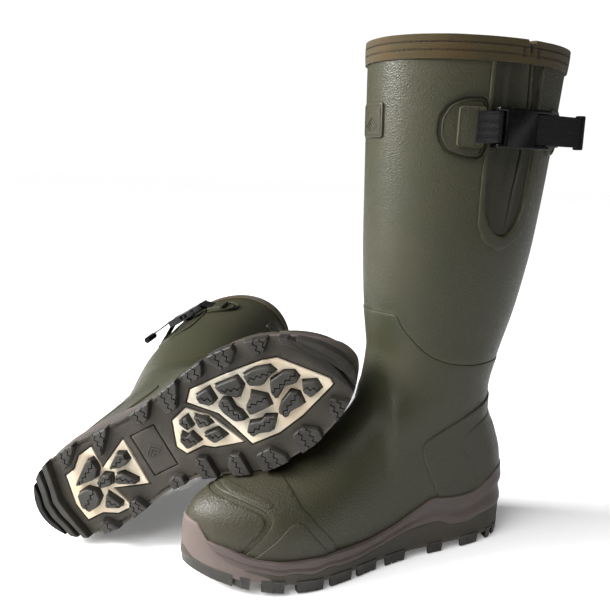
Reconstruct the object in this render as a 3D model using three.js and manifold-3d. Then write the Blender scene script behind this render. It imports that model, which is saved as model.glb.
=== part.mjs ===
// A pair of insulated hunting boots: the left boot stands, the right boot lies on its side across its toe.
// Boot frame (millimetres): x from the back of the heel to the toe, y to the outer side, z up from the ground.
import * as THREE from 'three';
import { mergeVertices } from 'three/addons/utils/BufferGeometryUtils.js';
import Module from 'manifold-3d';

const wasm = await Module();
wasm.setup();

// driving dimensions
const soleLength = 322;
const ballWidth = 112;
const bootHeight = 456;
const rimFront = 159;
const rimLength = 190;
const rimWidth = 142;
const ankleWidth = 94;
const ankleHeight = 150;
const backLineHeight = 181;
const frontLineHeight = 233;
const equator = 34;
const toeSpring = 14;
const springStart = 0.66;
const upperInset = 4;

// walls and clearances
const clearance = 0.3;
const rubberWall = 3;
const footProud = 0.7;
const overlayThickness = 1.4;
const liningThickness = 4.5;
const footbedThickness = 6;

// sole
const lugDepth = 8;
const lugRoot = 0.5;
const treadBase = 5;
const padDepth = 2.4;
const padProud = 0.6;
const midsoleInset = 1.5;
const midsoleWall = 2.5;
const footFloor = 24;
const shankLength = 110;
const shankWidth = 26;
const shankThickness = 1.6;
const emblemDepth = 0.8;

// rim band and badge
const bandHeight = 17;
const bandThickness = 1.6;
const badgeWidth = 30;
const badgeHeight = 29;
const badgeThickness = 1.8;
const badgeTop = 50;
const badgeShift = -4;

// gusset slit, its middle line measured from the heel
const gussetMiddle = 65;
const gussetWidth = 48;
const gussetDepth = 158;
const surroundWidth = 9;
const foldWidth = 3;
const foldSetback = 8;
const notchWidth = 9;
const notchDepth = 11;

// strap and buckle
const strapDrop = 69;
const webbingWidth = 25;
const webbingThickness = 1.6;
const buckleWidth = 32;
const buckleThickness = 9;
const buckleLead = 3;
const anchorGap = 3.5;
const anchorProud = 0.4;
const webbingPlay = 0.3;
const slotOpening = 4.4;
const plugLength = 12.7;
const socketLength = 41;
const buckleWall = 1.8;
const buckleStandOff = 1.2;
const prongLength = 22;
const prongThickness = 4;
const barThickness = 3;
const tailLength = 41;
const rollDiameter = 6;

// the right boot's place, in the frame of the standing boot turned to face -X
const restPoint = 78;
const rightBootReach = 129.5;
const rightBootLift = -2;
const rightBootPlace = [-rightBootReach - ballWidth, 33.8, ballWidth + rightBootLift];
const rightBootMiddle = 156;
const rightBootToe = [0.678, -0.5135, 0.526];
const rightBootShaft = [0.5826, 0.8117, 0.0416];

const colours = {
  rubber: 0x4a4a38, overlay: 0x45452f, sole: 0x2b2a22, midsole: 0x34322a, pad: 0xd9cfb0,
  binding: 0x7a6a42, webbing: 0x101010, buckle: 0x151515, lining: 0x3a3a36, steel: 0x8d8f92,
};

// smooth monotone curve through stations [x, y], x rising
function curveThrough(stations) {
  const n = stations.length;
  const slope = stations.slice(1).map(([x, y], i) => (y - stations[i][1]) / (x - stations[i][0]));
  const tangent = stations.map((_, i) => {
    if (i === 0) return slope[0];
    if (i === n - 1) return slope[n - 2];
    return slope[i - 1] * slope[i] <= 0 ? 0 : 2 * slope[i - 1] * slope[i] / (slope[i - 1] + slope[i]);
  });
  return (x) => {
    if (x <= stations[0][0]) return stations[0][1];
    if (x >= stations[n - 1][0]) return stations[n - 1][1];
    const i = stations.findIndex(([edge]) => x <= edge) - 1;
    const width = stations[i + 1][0] - stations[i][0];
    const t = (x - stations[i][0]) / width;
    return stations[i][1] * (1 + 2 * t) * (1 - t) ** 2 + tangent[i] * width * t * (1 - t) ** 2
      + stations[i + 1][1] * t * t * (3 - 2 * t) + tangent[i + 1] * width * t * t * (t - 1);
  };
}

const smooth = (from, to, x) => {
  const t = Math.min(1, Math.max(0, (x - from) / (to - from)));
  return t * t * (3 - 2 * t);
};

// sole outline: half widths as shares of the ball, over shares of the length turned into an angle
const turn = (share) => Math.acos(1 - 2 * Math.min(1, Math.max(0, share)));
const tipShift = -12 * ballWidth / 112;
const outerEdge = curveThrough([[0, 0], [0.012, 0.30], [0.045, 0.55], [0.105, 0.72], [0.20, 0.775],
  [0.36, 0.76], [0.50, 0.83], [0.60, 0.94], [0.70, 1], [0.79, 0.93], [0.875, 0.73], [0.945, 0.42],
  [0.985, 0.08], [1, tipShift * 2 / ballWidth]].map(([x, y]) => [turn(x), y]));
const innerEdge = curveThrough([[0, 0], [0.012, 0.29], [0.045, 0.54], [0.105, 0.72], [0.19, 0.78],
  [0.30, 0.68], [0.39, 0.60], [0.46, 0.61], [0.54, 0.75], [0.62, 0.92], [0.70, 1], [0.79, 0.97],
  [0.88, 0.83], [0.95, 0.62], [0.985, 0.42], [1, -tipShift * 2 / ballWidth]].map(([x, y]) => [turn(x), y]));
const outerY = (x) => outerEdge(turn(x / soleLength)) * ballWidth / 2;
const innerY = (x) => -innerEdge(turn(x / soleLength)) * ballWidth / 2;
const middleY = (x) => tipShift * smooth(0.35 * soleLength, soleLength, x);

function soleOutline(inset, steps = 15) {
  const side = (edge, sign) => Array.from({ length: steps }, (_, i) => {
    const angle = Math.PI * (i + (sign > 0 ? 0 : 1)) / steps;
    const x = soleLength * (1 - Math.cos(angle)) / 2;
    return [x, edge(x)];
  });
  const ring = [...side(outerY, 1), [soleLength, tipShift], ...side(innerY, -1).slice(0, -1).reverse()];
  return ring.map(([x, y], i) => {
    const before = ring[(i + ring.length - 1) % ring.length];
    const after = ring[(i + 1) % ring.length];
    const dx = after[0] - before[0];
    const dy = after[1] - before[1];
    const size = Math.hypot(dx, dy);
    return [x + dy / size * inset, y - dx / size * inset];
  });
}

// upper form: nose and back profiles over height, half widths of foot and shaft
const tipX = soleLength - upperInset;
const throatX = 0.462 * tipX;
const throatHeight = ankleHeight + 40;
const instep = curveThrough([[throatX, throatHeight], [0.475 * tipX, ankleHeight + 5], [0.515 * tipX, 136],
  [0.58 * tipX, 117], [0.66 * tipX, 103], [0.753 * tipX, 92], [0.84 * tipX, 82], [0.913 * tipX, 71],
  [0.962 * tipX, 59], [0.99 * tipX, 47], [tipX, equator]].map(([x, z]) => [turn(x / tipX), z]));
const topHeight = (x) => (x < throatX ? throatHeight + (throatX - x) * 40 : instep(turn(x / tipX)));
const shaftFront = curveThrough([[throatHeight, throatX], [ankleHeight + 90, throatX + 6],
  [bootHeight - 120, throatX + 9], [bootHeight + 12, rimFront]]);
function noseX(z) {
  if (z <= equator) return tipX;
  if (z >= throatHeight) return shaftFront(z);
  let [low, high] = [throatX, tipX];
  for (let i = 0; i < 40; i += 1) {
    const middle = (low + high) / 2;
    if (topHeight(middle) > z) low = middle; else high = middle;
  }
  return low;
}
const ankleBack = 24;
const backX = curveThrough([[0, 4], [34, 2], [62, 2], [84, 5], [108, 14], [ankleHeight - 20, ankleBack],
  [ankleHeight + 2, ankleBack + 0.5], [ankleHeight + 30, ankleBack - 6], [ankleHeight + 80, 2],
  [bootHeight - 125, -15], [bootHeight + 12, rimFront - rimLength]]);
const shaftHalf = curveThrough([[0, ankleWidth / 2 - 4], [ankleHeight - 10, ankleWidth / 2],
  [ankleHeight + 50, ankleWidth / 2 + 5], [ankleHeight + 145, ankleWidth / 2 + 18],
  [bootHeight + 12, rimWidth / 2]]);
const sideGrowth = curveThrough([[0, 0.90], [34, 0.95], [60, 0.98], [100, 1], [ankleHeight, 1.08]]);
const spring = (x) => toeSpring * Math.max(0, (x - springStart * soleLength) / ((1 - springStart) * soleLength)) ** 2;

function formPoint(angle, z) {
  const back = backX(z);
  const nose = noseX(z);
  const share = (1 - Math.cos(angle)) / 2;
  const x = back + share * (nose - back);
  const soleX = (x - back) * soleLength / (tipX - back);
  const outer = Math.sin(angle) >= 0;
  const edge = (outer ? outerY(soleX) : innerY(soleX)) - middleY(soleX);
  const level = Math.max(0, (z - equator) / (topHeight(x) - equator));
  const arch = Math.sqrt(Math.max(0, 1 - level ** 2.3));
  const inset = 1 - 2 * upperInset / ballWidth;
  const footY = edge * inset * sideGrowth(z) * arch;
  const shaftY = shaftHalf(z) * Math.sign(Math.sin(angle)) * Math.abs(Math.sin(angle)) ** 0.94;
  const blend = smooth(ankleHeight - 45, ankleHeight + 35, z);
  const y = footY * (1 - blend) + shaftY * blend + middleY(soleX) * (1 - blend);
  return new THREE.Vector3(x, y, z + spring(x));
}

function formNormal(angle, z) {
  const along = formPoint(angle + 0.02, z).sub(formPoint(angle - 0.02, z));
  const up = formPoint(angle, z + 0.6).sub(formPoint(angle, z - 0.6));
  return up.cross(along).normalize();
}

const grown = (angle, z, by) => formPoint(angle, z).addScaledVector(formNormal(angle, z), by);

// closed solid from rings of points, each end closed by a fan
function loft(rings) {
  const count = rings[0].length;
  const points = rings.flat();
  const triangles = [];
  for (let r = 0; r + 1 < rings.length; r += 1) {
    for (let i = 0; i < count; i += 1) {
      const [a, b] = [r * count + i, r * count + (i + 1) % count];
      triangles.push(a, a + count, b, b, a + count, b + count);
    }
  }
  for (const [ring, flip] of [[0, true], [rings.length - 1, false]]) {
    const centre = new THREE.Vector3();
    rings[ring].forEach((point) => centre.addScaledVector(point, 1 / count));
    points.push(centre);
    for (let i = 0; i < count; i += 1) {
      const [a, b] = [ring * count + i, ring * count + (i + 1) % count];
      triangles.push(...(flip ? [a, b, points.length - 1] : [b, a, points.length - 1]));
    }
  }
  return solidFrom(points, triangles);
}

function solidFrom(points, triangles) {
  const geometry = new THREE.BufferGeometry();
  geometry.setAttribute('position', new THREE.Float32BufferAttribute(points.flatMap((p) => p.toArray()), 3));
  geometry.setIndex(triangles);
  return solidOf(geometry);
}

function solidOf(geometry) {
  geometry.deleteAttribute('normal');
  geometry.deleteAttribute('uv');
  const merged = mergeVertices(geometry, 1e-4);
  const mesh = new wasm.Mesh({
    numProp: 3,
    vertProperties: new Float32Array(merged.attributes.position.array),
    triVerts: new Uint32Array(merged.index.array),
  });
  return new wasm.Manifold(mesh);
}

function meshOf(name, solid, colour, roughness = 0.7, metalness = 0) {
  const { vertProperties, triVerts } = solid.getMesh();
  const geometry = new THREE.BufferGeometry();
  geometry.setAttribute('position', new THREE.Float32BufferAttribute(vertProperties, 3));
  geometry.setIndex(new THREE.Uint32BufferAttribute(triVerts, 1));
  geometry.computeVertexNormals();
  const mesh = new THREE.Mesh(geometry, new THREE.MeshStandardMaterial({ color: colour, roughness, metalness }));
  mesh.name = name;
  return mesh;
}

function flatPiece(points, depth) {
  return new THREE.ExtrudeGeometry(new THREE.Shape(points.map(([x, y]) => new THREE.Vector2(x, y))),
    { depth, bevelEnabled: false });
}

const slab = (points, from, to) => solidOf(flatPiece(points, to - from).translate(0, 0, from));
const sidePrism = (points, from, to) => solidOf(flatPiece(points, to - from).rotateX(Math.PI / 2).translate(0, to, 0));
function block(x0, x1, y0, y1, z0, z1) {
  return solidOf(new THREE.BoxGeometry(x1 - x0, y1 - y0, z1 - z0)
    .translate((x0 + x1) / 2, (y0 + y1) / 2, (z0 + z1) / 2));
}
const join = (solids) => solids.reduce((all, one) => all.add(one));

// solids bounded by the upper's form, moved out or in along its normal
const around = 18;
const footLevels = [14, 36, 54, 70, 84, 105, 145, 190, 250];
const shaftLevels = [110, 150, 190, 250, 350, bootHeight + 12];
function formSolid(levels, by) {
  return loft(levels.map((z) => Array.from({ length: around },
    (_, i) => grown(2 * Math.PI * (i + 0.5) / around, z, by))));
}

const wide = ballWidth;
const far = soleLength + 60;
const top = bootHeight + 40;
const zones = new Map();
function foot(by) {
  if (!zones.has(`foot${by}`)) zones.set(`foot${by}`, formSolid(footLevels, by));
  return zones.get(`foot${by}`);
}
function shaft(by) {
  if (!zones.has(`shaft${by}`)) zones.set(`shaft${by}`, formSolid(shaftLevels, by));
  return zones.get(`shaft${by}`);
}
const heights = (from, to) => block(-90, far, -wide, wide, from, to);
const skin = (form, inner, outer) => form(outer).subtract(form(inner));

// toe spring for the sole: the solid is split at even stations and each vertex is lifted
const springSteps = 4;
const springSpan = soleLength * (1 - springStart);
const stations = Array.from({ length: springSteps }, (_, i) => springStart * soleLength + i * springSpan / springSteps);
function springLine(x) {
  const place = (x - stations[0]) / (springSpan / springSteps);
  if (place <= 0) return 0;
  const step = Math.floor(place);
  const at = (n) => spring(stations[0] + n * springSpan / springSteps);
  return at(step) + (place - step) * (at(step + 1) - at(step));
}
function splitAt(points, triangles, x) {
  const made = new Map();
  const result = [];
  const crossing = (a, b) => {
    const key = a < b ? `${a}_${b}` : `${b}_${a}`;
    if (!made.has(key)) {
      const [p, q] = a < b ? [points[a], points[b]] : [points[b], points[a]];
      const t = (x - p.x) / (q.x - p.x);
      made.set(key, points.push(new THREE.Vector3(x, p.y + t * (q.y - p.y), p.z + t * (q.z - p.z))) - 1);
    }
    return made.get(key);
  };
  const near = 1e-4;
  for (const triangle of triangles) {
    const side = triangle.map((i) => (Math.abs(points[i].x - x) < near ? 0 : Math.sign(points[i].x - x)));
    if (!side.includes(1) || !side.includes(-1)) {
      result.push(triangle);
      continue;
    }
    for (const keep of [1, -1]) {
      const corners = [];
      triangle.forEach((a, n) => {
        const b = triangle[(n + 1) % 3];
        if (side[n] === keep || side[n] === 0) corners.push(a);
        if (side[n] * side[(n + 1) % 3] === -1) corners.push(crossing(a, b));
      });
      for (let n = 1; n + 1 < corners.length; n += 1) result.push([corners[0], corners[n], corners[n + 1]]);
    }
  }
  return result;
}
function sprung(solid) {
  const { vertProperties, triVerts } = solid.getMesh();
  const points = Array.from({ length: vertProperties.length / 3 },
    (_, i) => new THREE.Vector3().fromArray(vertProperties, 3 * i));
  let triangles = Array.from({ length: triVerts.length / 3 }, (_, i) => [...triVerts.slice(3 * i, 3 * i + 3)]);
  for (const x of stations) triangles = splitAt(points, triangles, x);
  points.forEach((point) => { point.z += springLine(point.x); });
  return solidFrom(points, triangles.flat());
}

const aboveFloor = (lift) => sprung(heights(footFloor + lift, top));

// a flat outline moved outwards by a distance, and lugs and pads drawn for the nominal foot
function movedOut(points, by) {
  const area = points.reduce((sum, [x, y], i) => {
    const [u, v] = points[(i + 1) % points.length];
    return sum + x * v - u * y;
  }, 0);
  const turnSign = Math.sign(area);
  return points.map(([x, y], i) => {
    const [px, py] = points[(i + points.length - 1) % points.length];
    const [nx, ny] = points[(i + 1) % points.length];
    const into = [x - px, y - py].map((v) => v / Math.hypot(x - px, y - py));
    const out = [nx - x, ny - y].map((v) => v / Math.hypot(nx - x, ny - y));
    const normal = [into[1] + out[1], -into[0] - out[0]];
    const size = (normal[0] ** 2 + normal[1] ** 2) / 2;
    const reach = by * turnSign / Math.max(size, 0.6);
    return [x + normal[0] * reach, y + normal[1] * reach];
  });
}
const drawnLength = 312;
const drawnWidth = 112;
const treadPoint = ([x, y]) => [x * soleLength / drawnLength, y * ballWidth / drawnWidth];
const drawn = (points) => points.map(treadPoint);

// the ankle line where the foot shell ends: high at the front, level round the back
const anklePoints = [[-60, backLineHeight], [65, backLineHeight], [95, backLineHeight + 3],
  [111, backLineHeight + 8], [122, backLineHeight + 15], [139, frontLineHeight - 16],
  [144, frontLineHeight - 6], [far, frontLineHeight + 2]];
const below = (points, lift) => sidePrism([...points.map(([x, z]) => [x, z + lift]), [far, -20], [-60, -20]],
  -wide, wide);

// the midsole's top line along either side
const sideLine = [[-60, 74], [20, 70], [36, 62], [52, 54], [72, 52], [96, 55], [112, 48], [141, 35], [178, 28],
  [248, 28], [276, 31], [300, 40], [far, 60]];
// the toe bumper's outline along either side
const bumperPoints = [[268, 10], [268, 22], [292, 26], [309, 38], [316, 54], [far, 57], [far, 10]];

function makeFootShell() {
  return foot(footProud).intersect(below(anklePoints, 0)).subtract(foot(-rubberWall))
    .intersect(aboveFloor(0));
}

// outline of the gusset slit and of the raised band round it, seen from the side
function gussetOutline(grow) {
  const [front, back] = [gussetMiddle + gussetWidth / 2 + grow, gussetMiddle - gussetWidth / 2 - grow];
  const bottom = bootHeight - gussetDepth - grow;
  return [[front, top], [front, bottom + 22], [front - 9, bottom + 9], [gussetMiddle + 3, bottom],
    [gussetMiddle - 9, bottom + 5], [back + 4, bottom + 24], [back, bottom + 62], [back - 2, top]];
}
function surroundOutline() {
  const [front, back] = [gussetMiddle + gussetWidth / 2 + 4, gussetMiddle - gussetWidth / 2 - surroundWidth - 8];
  const bottom = bootHeight - gussetDepth - surroundWidth;
  return [[front, top], [front, bottom + 18], [gussetMiddle + 3, bottom - 4], [gussetMiddle - 24, bottom + 12],
    [back + 12, bottom + 30], [back + 3, bottom + 74], [back, top]];
}
const outerSide = (points) => sidePrism(points, 12, wide);
const foldX = gussetMiddle - foldSetback;
const notch = () => outerSide([[foldX - notchWidth / 2, bootHeight + 6], [foldX, bootHeight - notchDepth],
  [foldX + notchWidth / 2, bootHeight + 6]]);

function makeShaftShell() {
  return skin(shaft, -rubberWall, 0).intersect(heights(100, bootHeight))
    .subtract(below(anklePoints, clearance)).subtract(outerSide(gussetOutline(0)));
}

function makeGusset() {
  const fold = outerSide([[foldX - foldWidth / 2, top], [foldX + 5 - foldWidth / 3, bootHeight - 130],
    [foldX + 5 + foldWidth / 3, bootHeight - 130], [foldX + foldWidth / 2, top]]);
  const panel = skin(shaft, -rubberWall, -overlayThickness / 2).intersect(outerSide(gussetOutline(-clearance)))
    .intersect(heights(100, bootHeight));
  const groove = fold.intersect(skin(shaft, -rubberWall * 0.6, 2));
  return panel.subtract(groove);
}

function makeSurround() {
  return skin(shaft, clearance, clearance + overlayThickness).intersect(outerSide(surroundOutline()))
    .subtract(outerSide(gussetOutline(1))).intersect(heights(100, bootHeight - bandHeight - clearance));
}

function makeBinding() {
  const inner = -rubberWall - clearance - liningThickness - clearance;
  const band = skin(shaft, inner - bandThickness, clearance + bandThickness)
    .intersect(heights(bootHeight - bandHeight, bootHeight + clearance + bandThickness));
  const filled = skin(shaft, inner, clearance).intersect(heights(0, bootHeight + clearance));
  return band.subtract(filled).subtract(notch());
}

function makeFootLining() {
  const outer = -rubberWall - clearance;
  const body = foot(outer).intersect(below(anklePoints, 0)).intersect(aboveFloor(clearance));
  const room = foot(outer - liningThickness).intersect(aboveFloor(clearance + liningThickness));
  return body.subtract(room);
}

function makeShaftLining() {
  const outer = -rubberWall - clearance;
  return skin(shaft, outer - liningThickness, outer).intersect(heights(100, bootHeight))
    .subtract(below(anklePoints, clearance));
}

function makeFootbed() {
  const lift = clearance + liningThickness + clearance;
  return foot(-rubberWall - clearance - liningThickness - clearance)
    .intersect(aboveFloor(lift)).subtract(aboveFloor(lift + footbedThickness));
}

// overlays on the foot, cut from one skin
const overlaySkin = () => skin(foot, footProud + clearance, footProud + clearance + overlayThickness);
const aboveSole = (solid) => solid.subtract(below(sideLine, clearance))
  .subtract(sidePrism(movedOut(bumperPoints, clearance + 0.2), -wide, wide));
const capEdge = [[266, 70], [264, 42], [266, 36], [268, 33], [290, 10], [297, -10], [290, -30], [268, -53],
  [266, -56], [264, -80]];
const capZone = (lift) => slab([...drawn(capEdge).map(([x, y]) => [x - lift, y]), [far, -80], [far, 70]], 20, 110);
function makeToeCap() {
  return aboveSole(overlaySkin().intersect(capZone(0)));
}
function makeVamp() {
  const back = drawn([[197, 0], [200, 38], [229, 71], [229, 90]]).map(([x], i) => [x, [20, 38, 71, 130][i]]);
  const zone = sidePrism([...back, [far, 130], [far, 20]], -wide, wide);
  return aboveSole(overlaySkin().intersect(zone).subtract(capZone(3)));
}
function makeCounter() {
  const points = [[-60, 150], [24, 147], [74, 130], [114, 112], [115, 99], [105, 78], [86, 50], [-60, 50]];
  return aboveSole(overlaySkin().intersect(sidePrism(points, -wide, wide)));
}

// tread: lugs that rise through the pads, lugs round the edge and bars round the heel
const padOutlines = {
  forefoot_grip_pad: [[174, 29], [183, 38], [204, 37], [226, 35], [251, 31], [262, 27], [291, -11], [291, -17],
    [256, -28], [232, -32], [206, -30], [200, -10], [194, 7]],
  waist_grip_pad: [[154, 21], [171, 26], [188, 7], [201, -25], [175, -18], [167, -12], [150, -12], [145, -2]],
  heel_grip_pad: [[38, 21], [49, 23], [60, 32], [76, 34], [74, 12], [106, 27], [105, -21], [73, -10], [79, -33],
    [63, -33], [50, -26], [33, -26], [31, -7]],
};
const padLugs = {
  forefoot_grip_pad: [
    [[187, 31], [200, 32], [200, 20], [194, 18], [187, 24]],
    [[206, 31], [226, 29], [227, 20], [219, 13], [213, 18], [207, 24]],
    [[232, 28], [242, 28], [254, 24], [256, 18], [249, 17], [241, 13], [232, 18]],
    [[249, 13], [262, 14], [269, 10], [270, 4], [265, 1], [256, 4], [246, -3], [245, 4]],
    [[271, -1], [281, -6], [281, -14], [271, -16], [268, -9]],
    [[200, 15], [206, 18], [211, 15], [211, 6], [214, 1], [215, -7], [206, -4], [201, 7]],
    [[230, 12], [240, 3], [239, -6], [220, -5], [220, 2], [227, 7]],
    [[259, -3], [264, -8], [263, -18], [249, -18], [245, -21], [242, -14], [248, -8]],
    [[216, -11], [226, -14], [230, -12], [238, -16], [229, -26], [219, -22], [213, -23], [210, -17]],
  ],
  waist_grip_pad: [
    [[161, 17], [170, 19], [170, 9], [165, 8]],
    [[176, 17], [185, 9], [186, 3], [175, 5]],
    [[158, 8], [161, 3], [166, 4], [169, -6], [156, -7], [154, 2]],
    [[175, -2], [188, -3], [192, -12], [180, -13]],
  ],
  heel_grip_pad: [
    [[46, 10], [66, 24], [72, 24], [73, 15], [66, 7], [47, 8]],
    [[65, 3], [74, 7], [80, 3], [76, -5], [65, -3]],
    [[82, 9], [96, 18], [102, 15], [102, 8], [94, 5]],
    [[84, 1], [91, 0], [99, -11], [97, -14], [81, -6]],
    [[42, 1], [53, 2], [60, -4], [59, -11], [51, -17], [43, -18], [39, -11]],
    [[59, -21], [67, -10], [74, -24], [71, -27]],
  ],
};
const edgeLugs = [
  [[44, 70], [63, 70], [64, 41], [50, 29], [44, 27]],
  [[84, 70], [99, 70], [100, 41], [93, 33], [81, 22], [80, 28], [85, 38]],
  [[126, 70], [146, 70], [147, 44], [137, 31], [126, 33]],
  [[159, 70], [178, 70], [178, 48], [166, 29], [156, 28], [156, 37]],
  [[184, 70], [205, 70], [206, 52], [200, 43], [190, 43], [186, 46]],
  [[213, 70], [236, 70], [236, 49], [226, 40], [217, 41], [214, 48]],
  [[246, 70], [268, 70], [264, 44], [255, 36], [247, 37]],
  [[278, -70], [306, -70], [299, -38], [284, -24], [279, -34]],
  [[241, -70], [262, -70], [263, -43], [252, -35], [242, -37]],
  [[205, -70], [228, -70], [228, -50], [219, -38], [207, -38], [204, -46]],
  [[176, -70], [193, -70], [194, -32], [186, -28], [180, -36]],
  [[151, -70], [166, -70], [167, -22], [158, -17], [154, -24]],
  [[124, -70], [138, -70], [138, -27], [132, -23], [125, -25]],
  [[79, -70], [94, -70], [94, -38], [89, -27], [82, -26], [77, -34]],
  [[43, -70], [60, -70], [60, -44], [51, -31], [44, -32]],
];
const heelBars = [
  [[16, 60], [9, 16], [5, 5], [5, -7], [9, -18], [16, -60], [-20, -60], [-20, 60]],
  [[27, 60], [18, 18], [14, 5], [14, -8], [17, -20], [23, -60], [19, -60], [11, -18], [8, -7], [8, 6], [12, 18],
    [21, 60]],
  [[38, 60], [26, 14], [23, 4], [24, -10], [26, -24], [32, -60], [28, -60], [21, -22], [18, -9], [17, 5],
    [21, 16], [32, 60]],
];
const toeBars = [
  [[288, 60], [284, 30], [293, 18], [301, 4], [305, -14], [316, -40], [330, -20], [330, 60]],
  [[276, 60], [272, 36], [281, 26], [291, 10], [297, -8], [301, -26], [306, -40], [303, -24], [301, -8],
    [295, 12], [285, 29], [279, 37], [281, 60]],
];
const emblemFrame = [[113, 25], [137, 25], [137, -16], [113, -16]];

function makeTread() {
  const edge = soleOutline(0);
  const treadTop = lugDepth + treadBase;
  const inside = slab(edge, -1, treadTop + 8);
  const pockets = join(Object.values(padOutlines).map((points) => slab(drawn(points), -1, lugDepth + padDepth)));
  const lugTop = lugDepth + padDepth + lugRoot;
  const lugs = join(Object.values(padLugs).flat().map((points) => slab(drawn(points), 0, lugTop)));
  const rim = join([...edgeLugs, ...heelBars, ...toeBars].map((points) => slab(drawn(points), 0, lugTop)))
    .intersect(inside).subtract(pockets);
  const label = slab(drawn(emblemFrame), -1, lugDepth + emblemDepth);
  const base = slab(edge, lugDepth, treadTop).subtract(pockets).subtract(label);
  return sprung(base.add(rim).add(lugs));
}

function makePad(name) {
  const holes = join(padLugs[name].map((points) => slab(movedOut(drawn(points), clearance), -1, 30)));
  const pad = slab(movedOut(drawn(padOutlines[name]), -clearance), lugDepth - padProud, lugDepth + padDepth - clearance);
  return sprung(pad.subtract(holes));
}

const bumperZone = (grow) => sidePrism(movedOut(bumperPoints, grow), -wide, wide);
function makeBumper() {
  const body = sprung(slab(soleOutline(-0.6), lugDepth + treadBase + clearance, 62));
  const upper = foot(footProud + clearance).intersect(aboveFloor(-clearance));
  return body.intersect(bumperZone(0)).subtract(upper);
}

function makeMidsole() {
  const bottom = lugDepth + treadBase + clearance;
  const body = sprung(slab(soleOutline(midsoleInset), bottom, 46));
  const cup = foot(footProud + clearance + midsoleWall).intersect(sprung(slab(soleOutline(-6), bottom, 90)));
  const upper = foot(footProud + clearance).intersect(aboveFloor(-clearance));
  const shankRoom = shankBlock(clearance, bottom - 1, bottom + shankThickness + clearance);
  return body.add(cup).intersect(below(sideLine, 0)).subtract(upper).subtract(bumperZone(clearance))
    .subtract(shankRoom);
}
const shankStart = 78;
const shankBlock = (grow, from, to) => block(shankStart - grow, shankStart + shankLength + grow,
  -shankWidth / 2 - grow, shankWidth / 2 + grow, from, to);
const makeShank = () => shankBlock(0, lugDepth + treadBase + clearance, lugDepth + treadBase + clearance + shankThickness);

// strap line: middle height, and surface places at that height
const strapHeight = bootHeight - strapDrop;
function surfaceAt(x, by) {
  const back = backX(strapHeight);
  const nose = noseX(strapHeight);
  const angle = Math.acos(1 - 2 * (x - back) / (nose - back));
  const point = grown(angle, strapHeight, by);
  return [point.x, point.y];
}
function ribbon(path, thickness, width) {
  const side = (sign) => path.map(([x, y], i) => {
    const [px, py] = path[Math.max(0, i - 1)];
    const [nx, ny] = path[Math.min(path.length - 1, i + 1)];
    const size = Math.hypot(nx - px, ny - py);
    return [x - sign * (ny - py) / size * thickness / 2, y + sign * (nx - px) / size * thickness / 2];
  });
  return slab([...side(1), ...side(-1).reverse()], strapHeight - width / 2, strapHeight + width / 2);
}
const bandFace = (points) => outerSide(points.map(([x, z]) => [x, strapHeight + z]));

const buckleFront = gussetMiddle + gussetWidth / 2 + buckleLead;
const buckleInner = surfaceAt(gussetMiddle, 0)[1] + clearance + overlayThickness + buckleStandOff;
const buckleOuter = buckleInner + buckleThickness;
const buckleMiddle = (buckleInner + buckleOuter) / 2;
const socketFront = buckleFront - plugLength - clearance;
const socketBack = socketFront - socketLength;
const barFrom = buckleMiddle - barThickness / 2;
const barTo = buckleMiddle + barThickness / 2;
const passGap = barThickness / 2 + clearance + webbingThickness / 2 + webbingPlay;
const strapBlock = (x0, x1, y0, y1, low, high) => block(x0, x1, y0, y1, strapHeight + low, strapHeight + high);
const halfBuckle = buckleWidth / 2;
const halfSlot = webbingWidth / 2 + 0.5;
const prongPivotX = socketFront + 2.4;
const prongArm = halfBuckle - buckleWall - prongThickness - 1;

// front webbing: a hairpin from the tunnel round the plug's bar
const plugBarBack = buckleFront - barThickness;
const hairpin = [
  surfaceAt(buckleFront + 19, 2.9), surfaceAt(buckleFront + 8, 3.1),
  [buckleFront - 0.5, buckleMiddle - passGap], [plugBarBack - 1, buckleMiddle - passGap],
  [plugBarBack - 2, buckleMiddle - passGap / 2], [plugBarBack - 2, buckleMiddle + passGap / 2],
  [plugBarBack - 1, buckleMiddle + passGap], [buckleFront, buckleMiddle + passGap],
  surfaceAt(buckleFront + 9, 5.5), surfaceAt(buckleFront + 19, 5.1),
];

function makeFrontAnchor() {
  const start = buckleFront + anchorGap;
  const plate = skin(shaft, clearance, clearance + overlayThickness + anchorProud)
    .intersect(bandFace([[start, -22], [start, 21], [start + 15, 21], [start + 26, 16], [start + 31, 6],
      [start + 31, -8], [start + 26, -18], [start + 14, -22]]));
  const tunnel = skin(shaft, clearance, 7.4).intersect(bandFace([[start, -16], [start, 16], [start + 19, 16],
    [start + 21, 14], [start + 21, -14], [start + 19, -16]]));
  return plate.add(tunnel).subtract(ribbon([surfaceAt(start - 6, 8.4), surfaceAt(start + 1, 6.2),
    surfaceAt(start + 6, 4.4), surfaceAt(start + 17, 4.1)], webbingThickness + 4, webbingWidth + 0.8));
}

function makeRearAnchor() {
  return skin(shaft, clearance, clearance + overlayThickness + anchorProud)
    .intersect(bandFace([[19, -20], [19, 20], [8, 20], [-2, 14], [-5, 6], [-5, -6], [-2, -14], [8, -20]]));
}

function makeRearWebbing() {
  const lift = clearance + overlayThickness + anchorProud + clearance + webbingThickness / 2 + 3 * webbingPlay;
  return ribbon([surfaceAt(4, lift), surfaceAt(14, lift), surfaceAt(24, lift),
    [socketBack - 2, buckleInner + 0.4], [socketBack + 1.2, buckleMiddle - passGap]], webbingThickness, webbingWidth);
}

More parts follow.
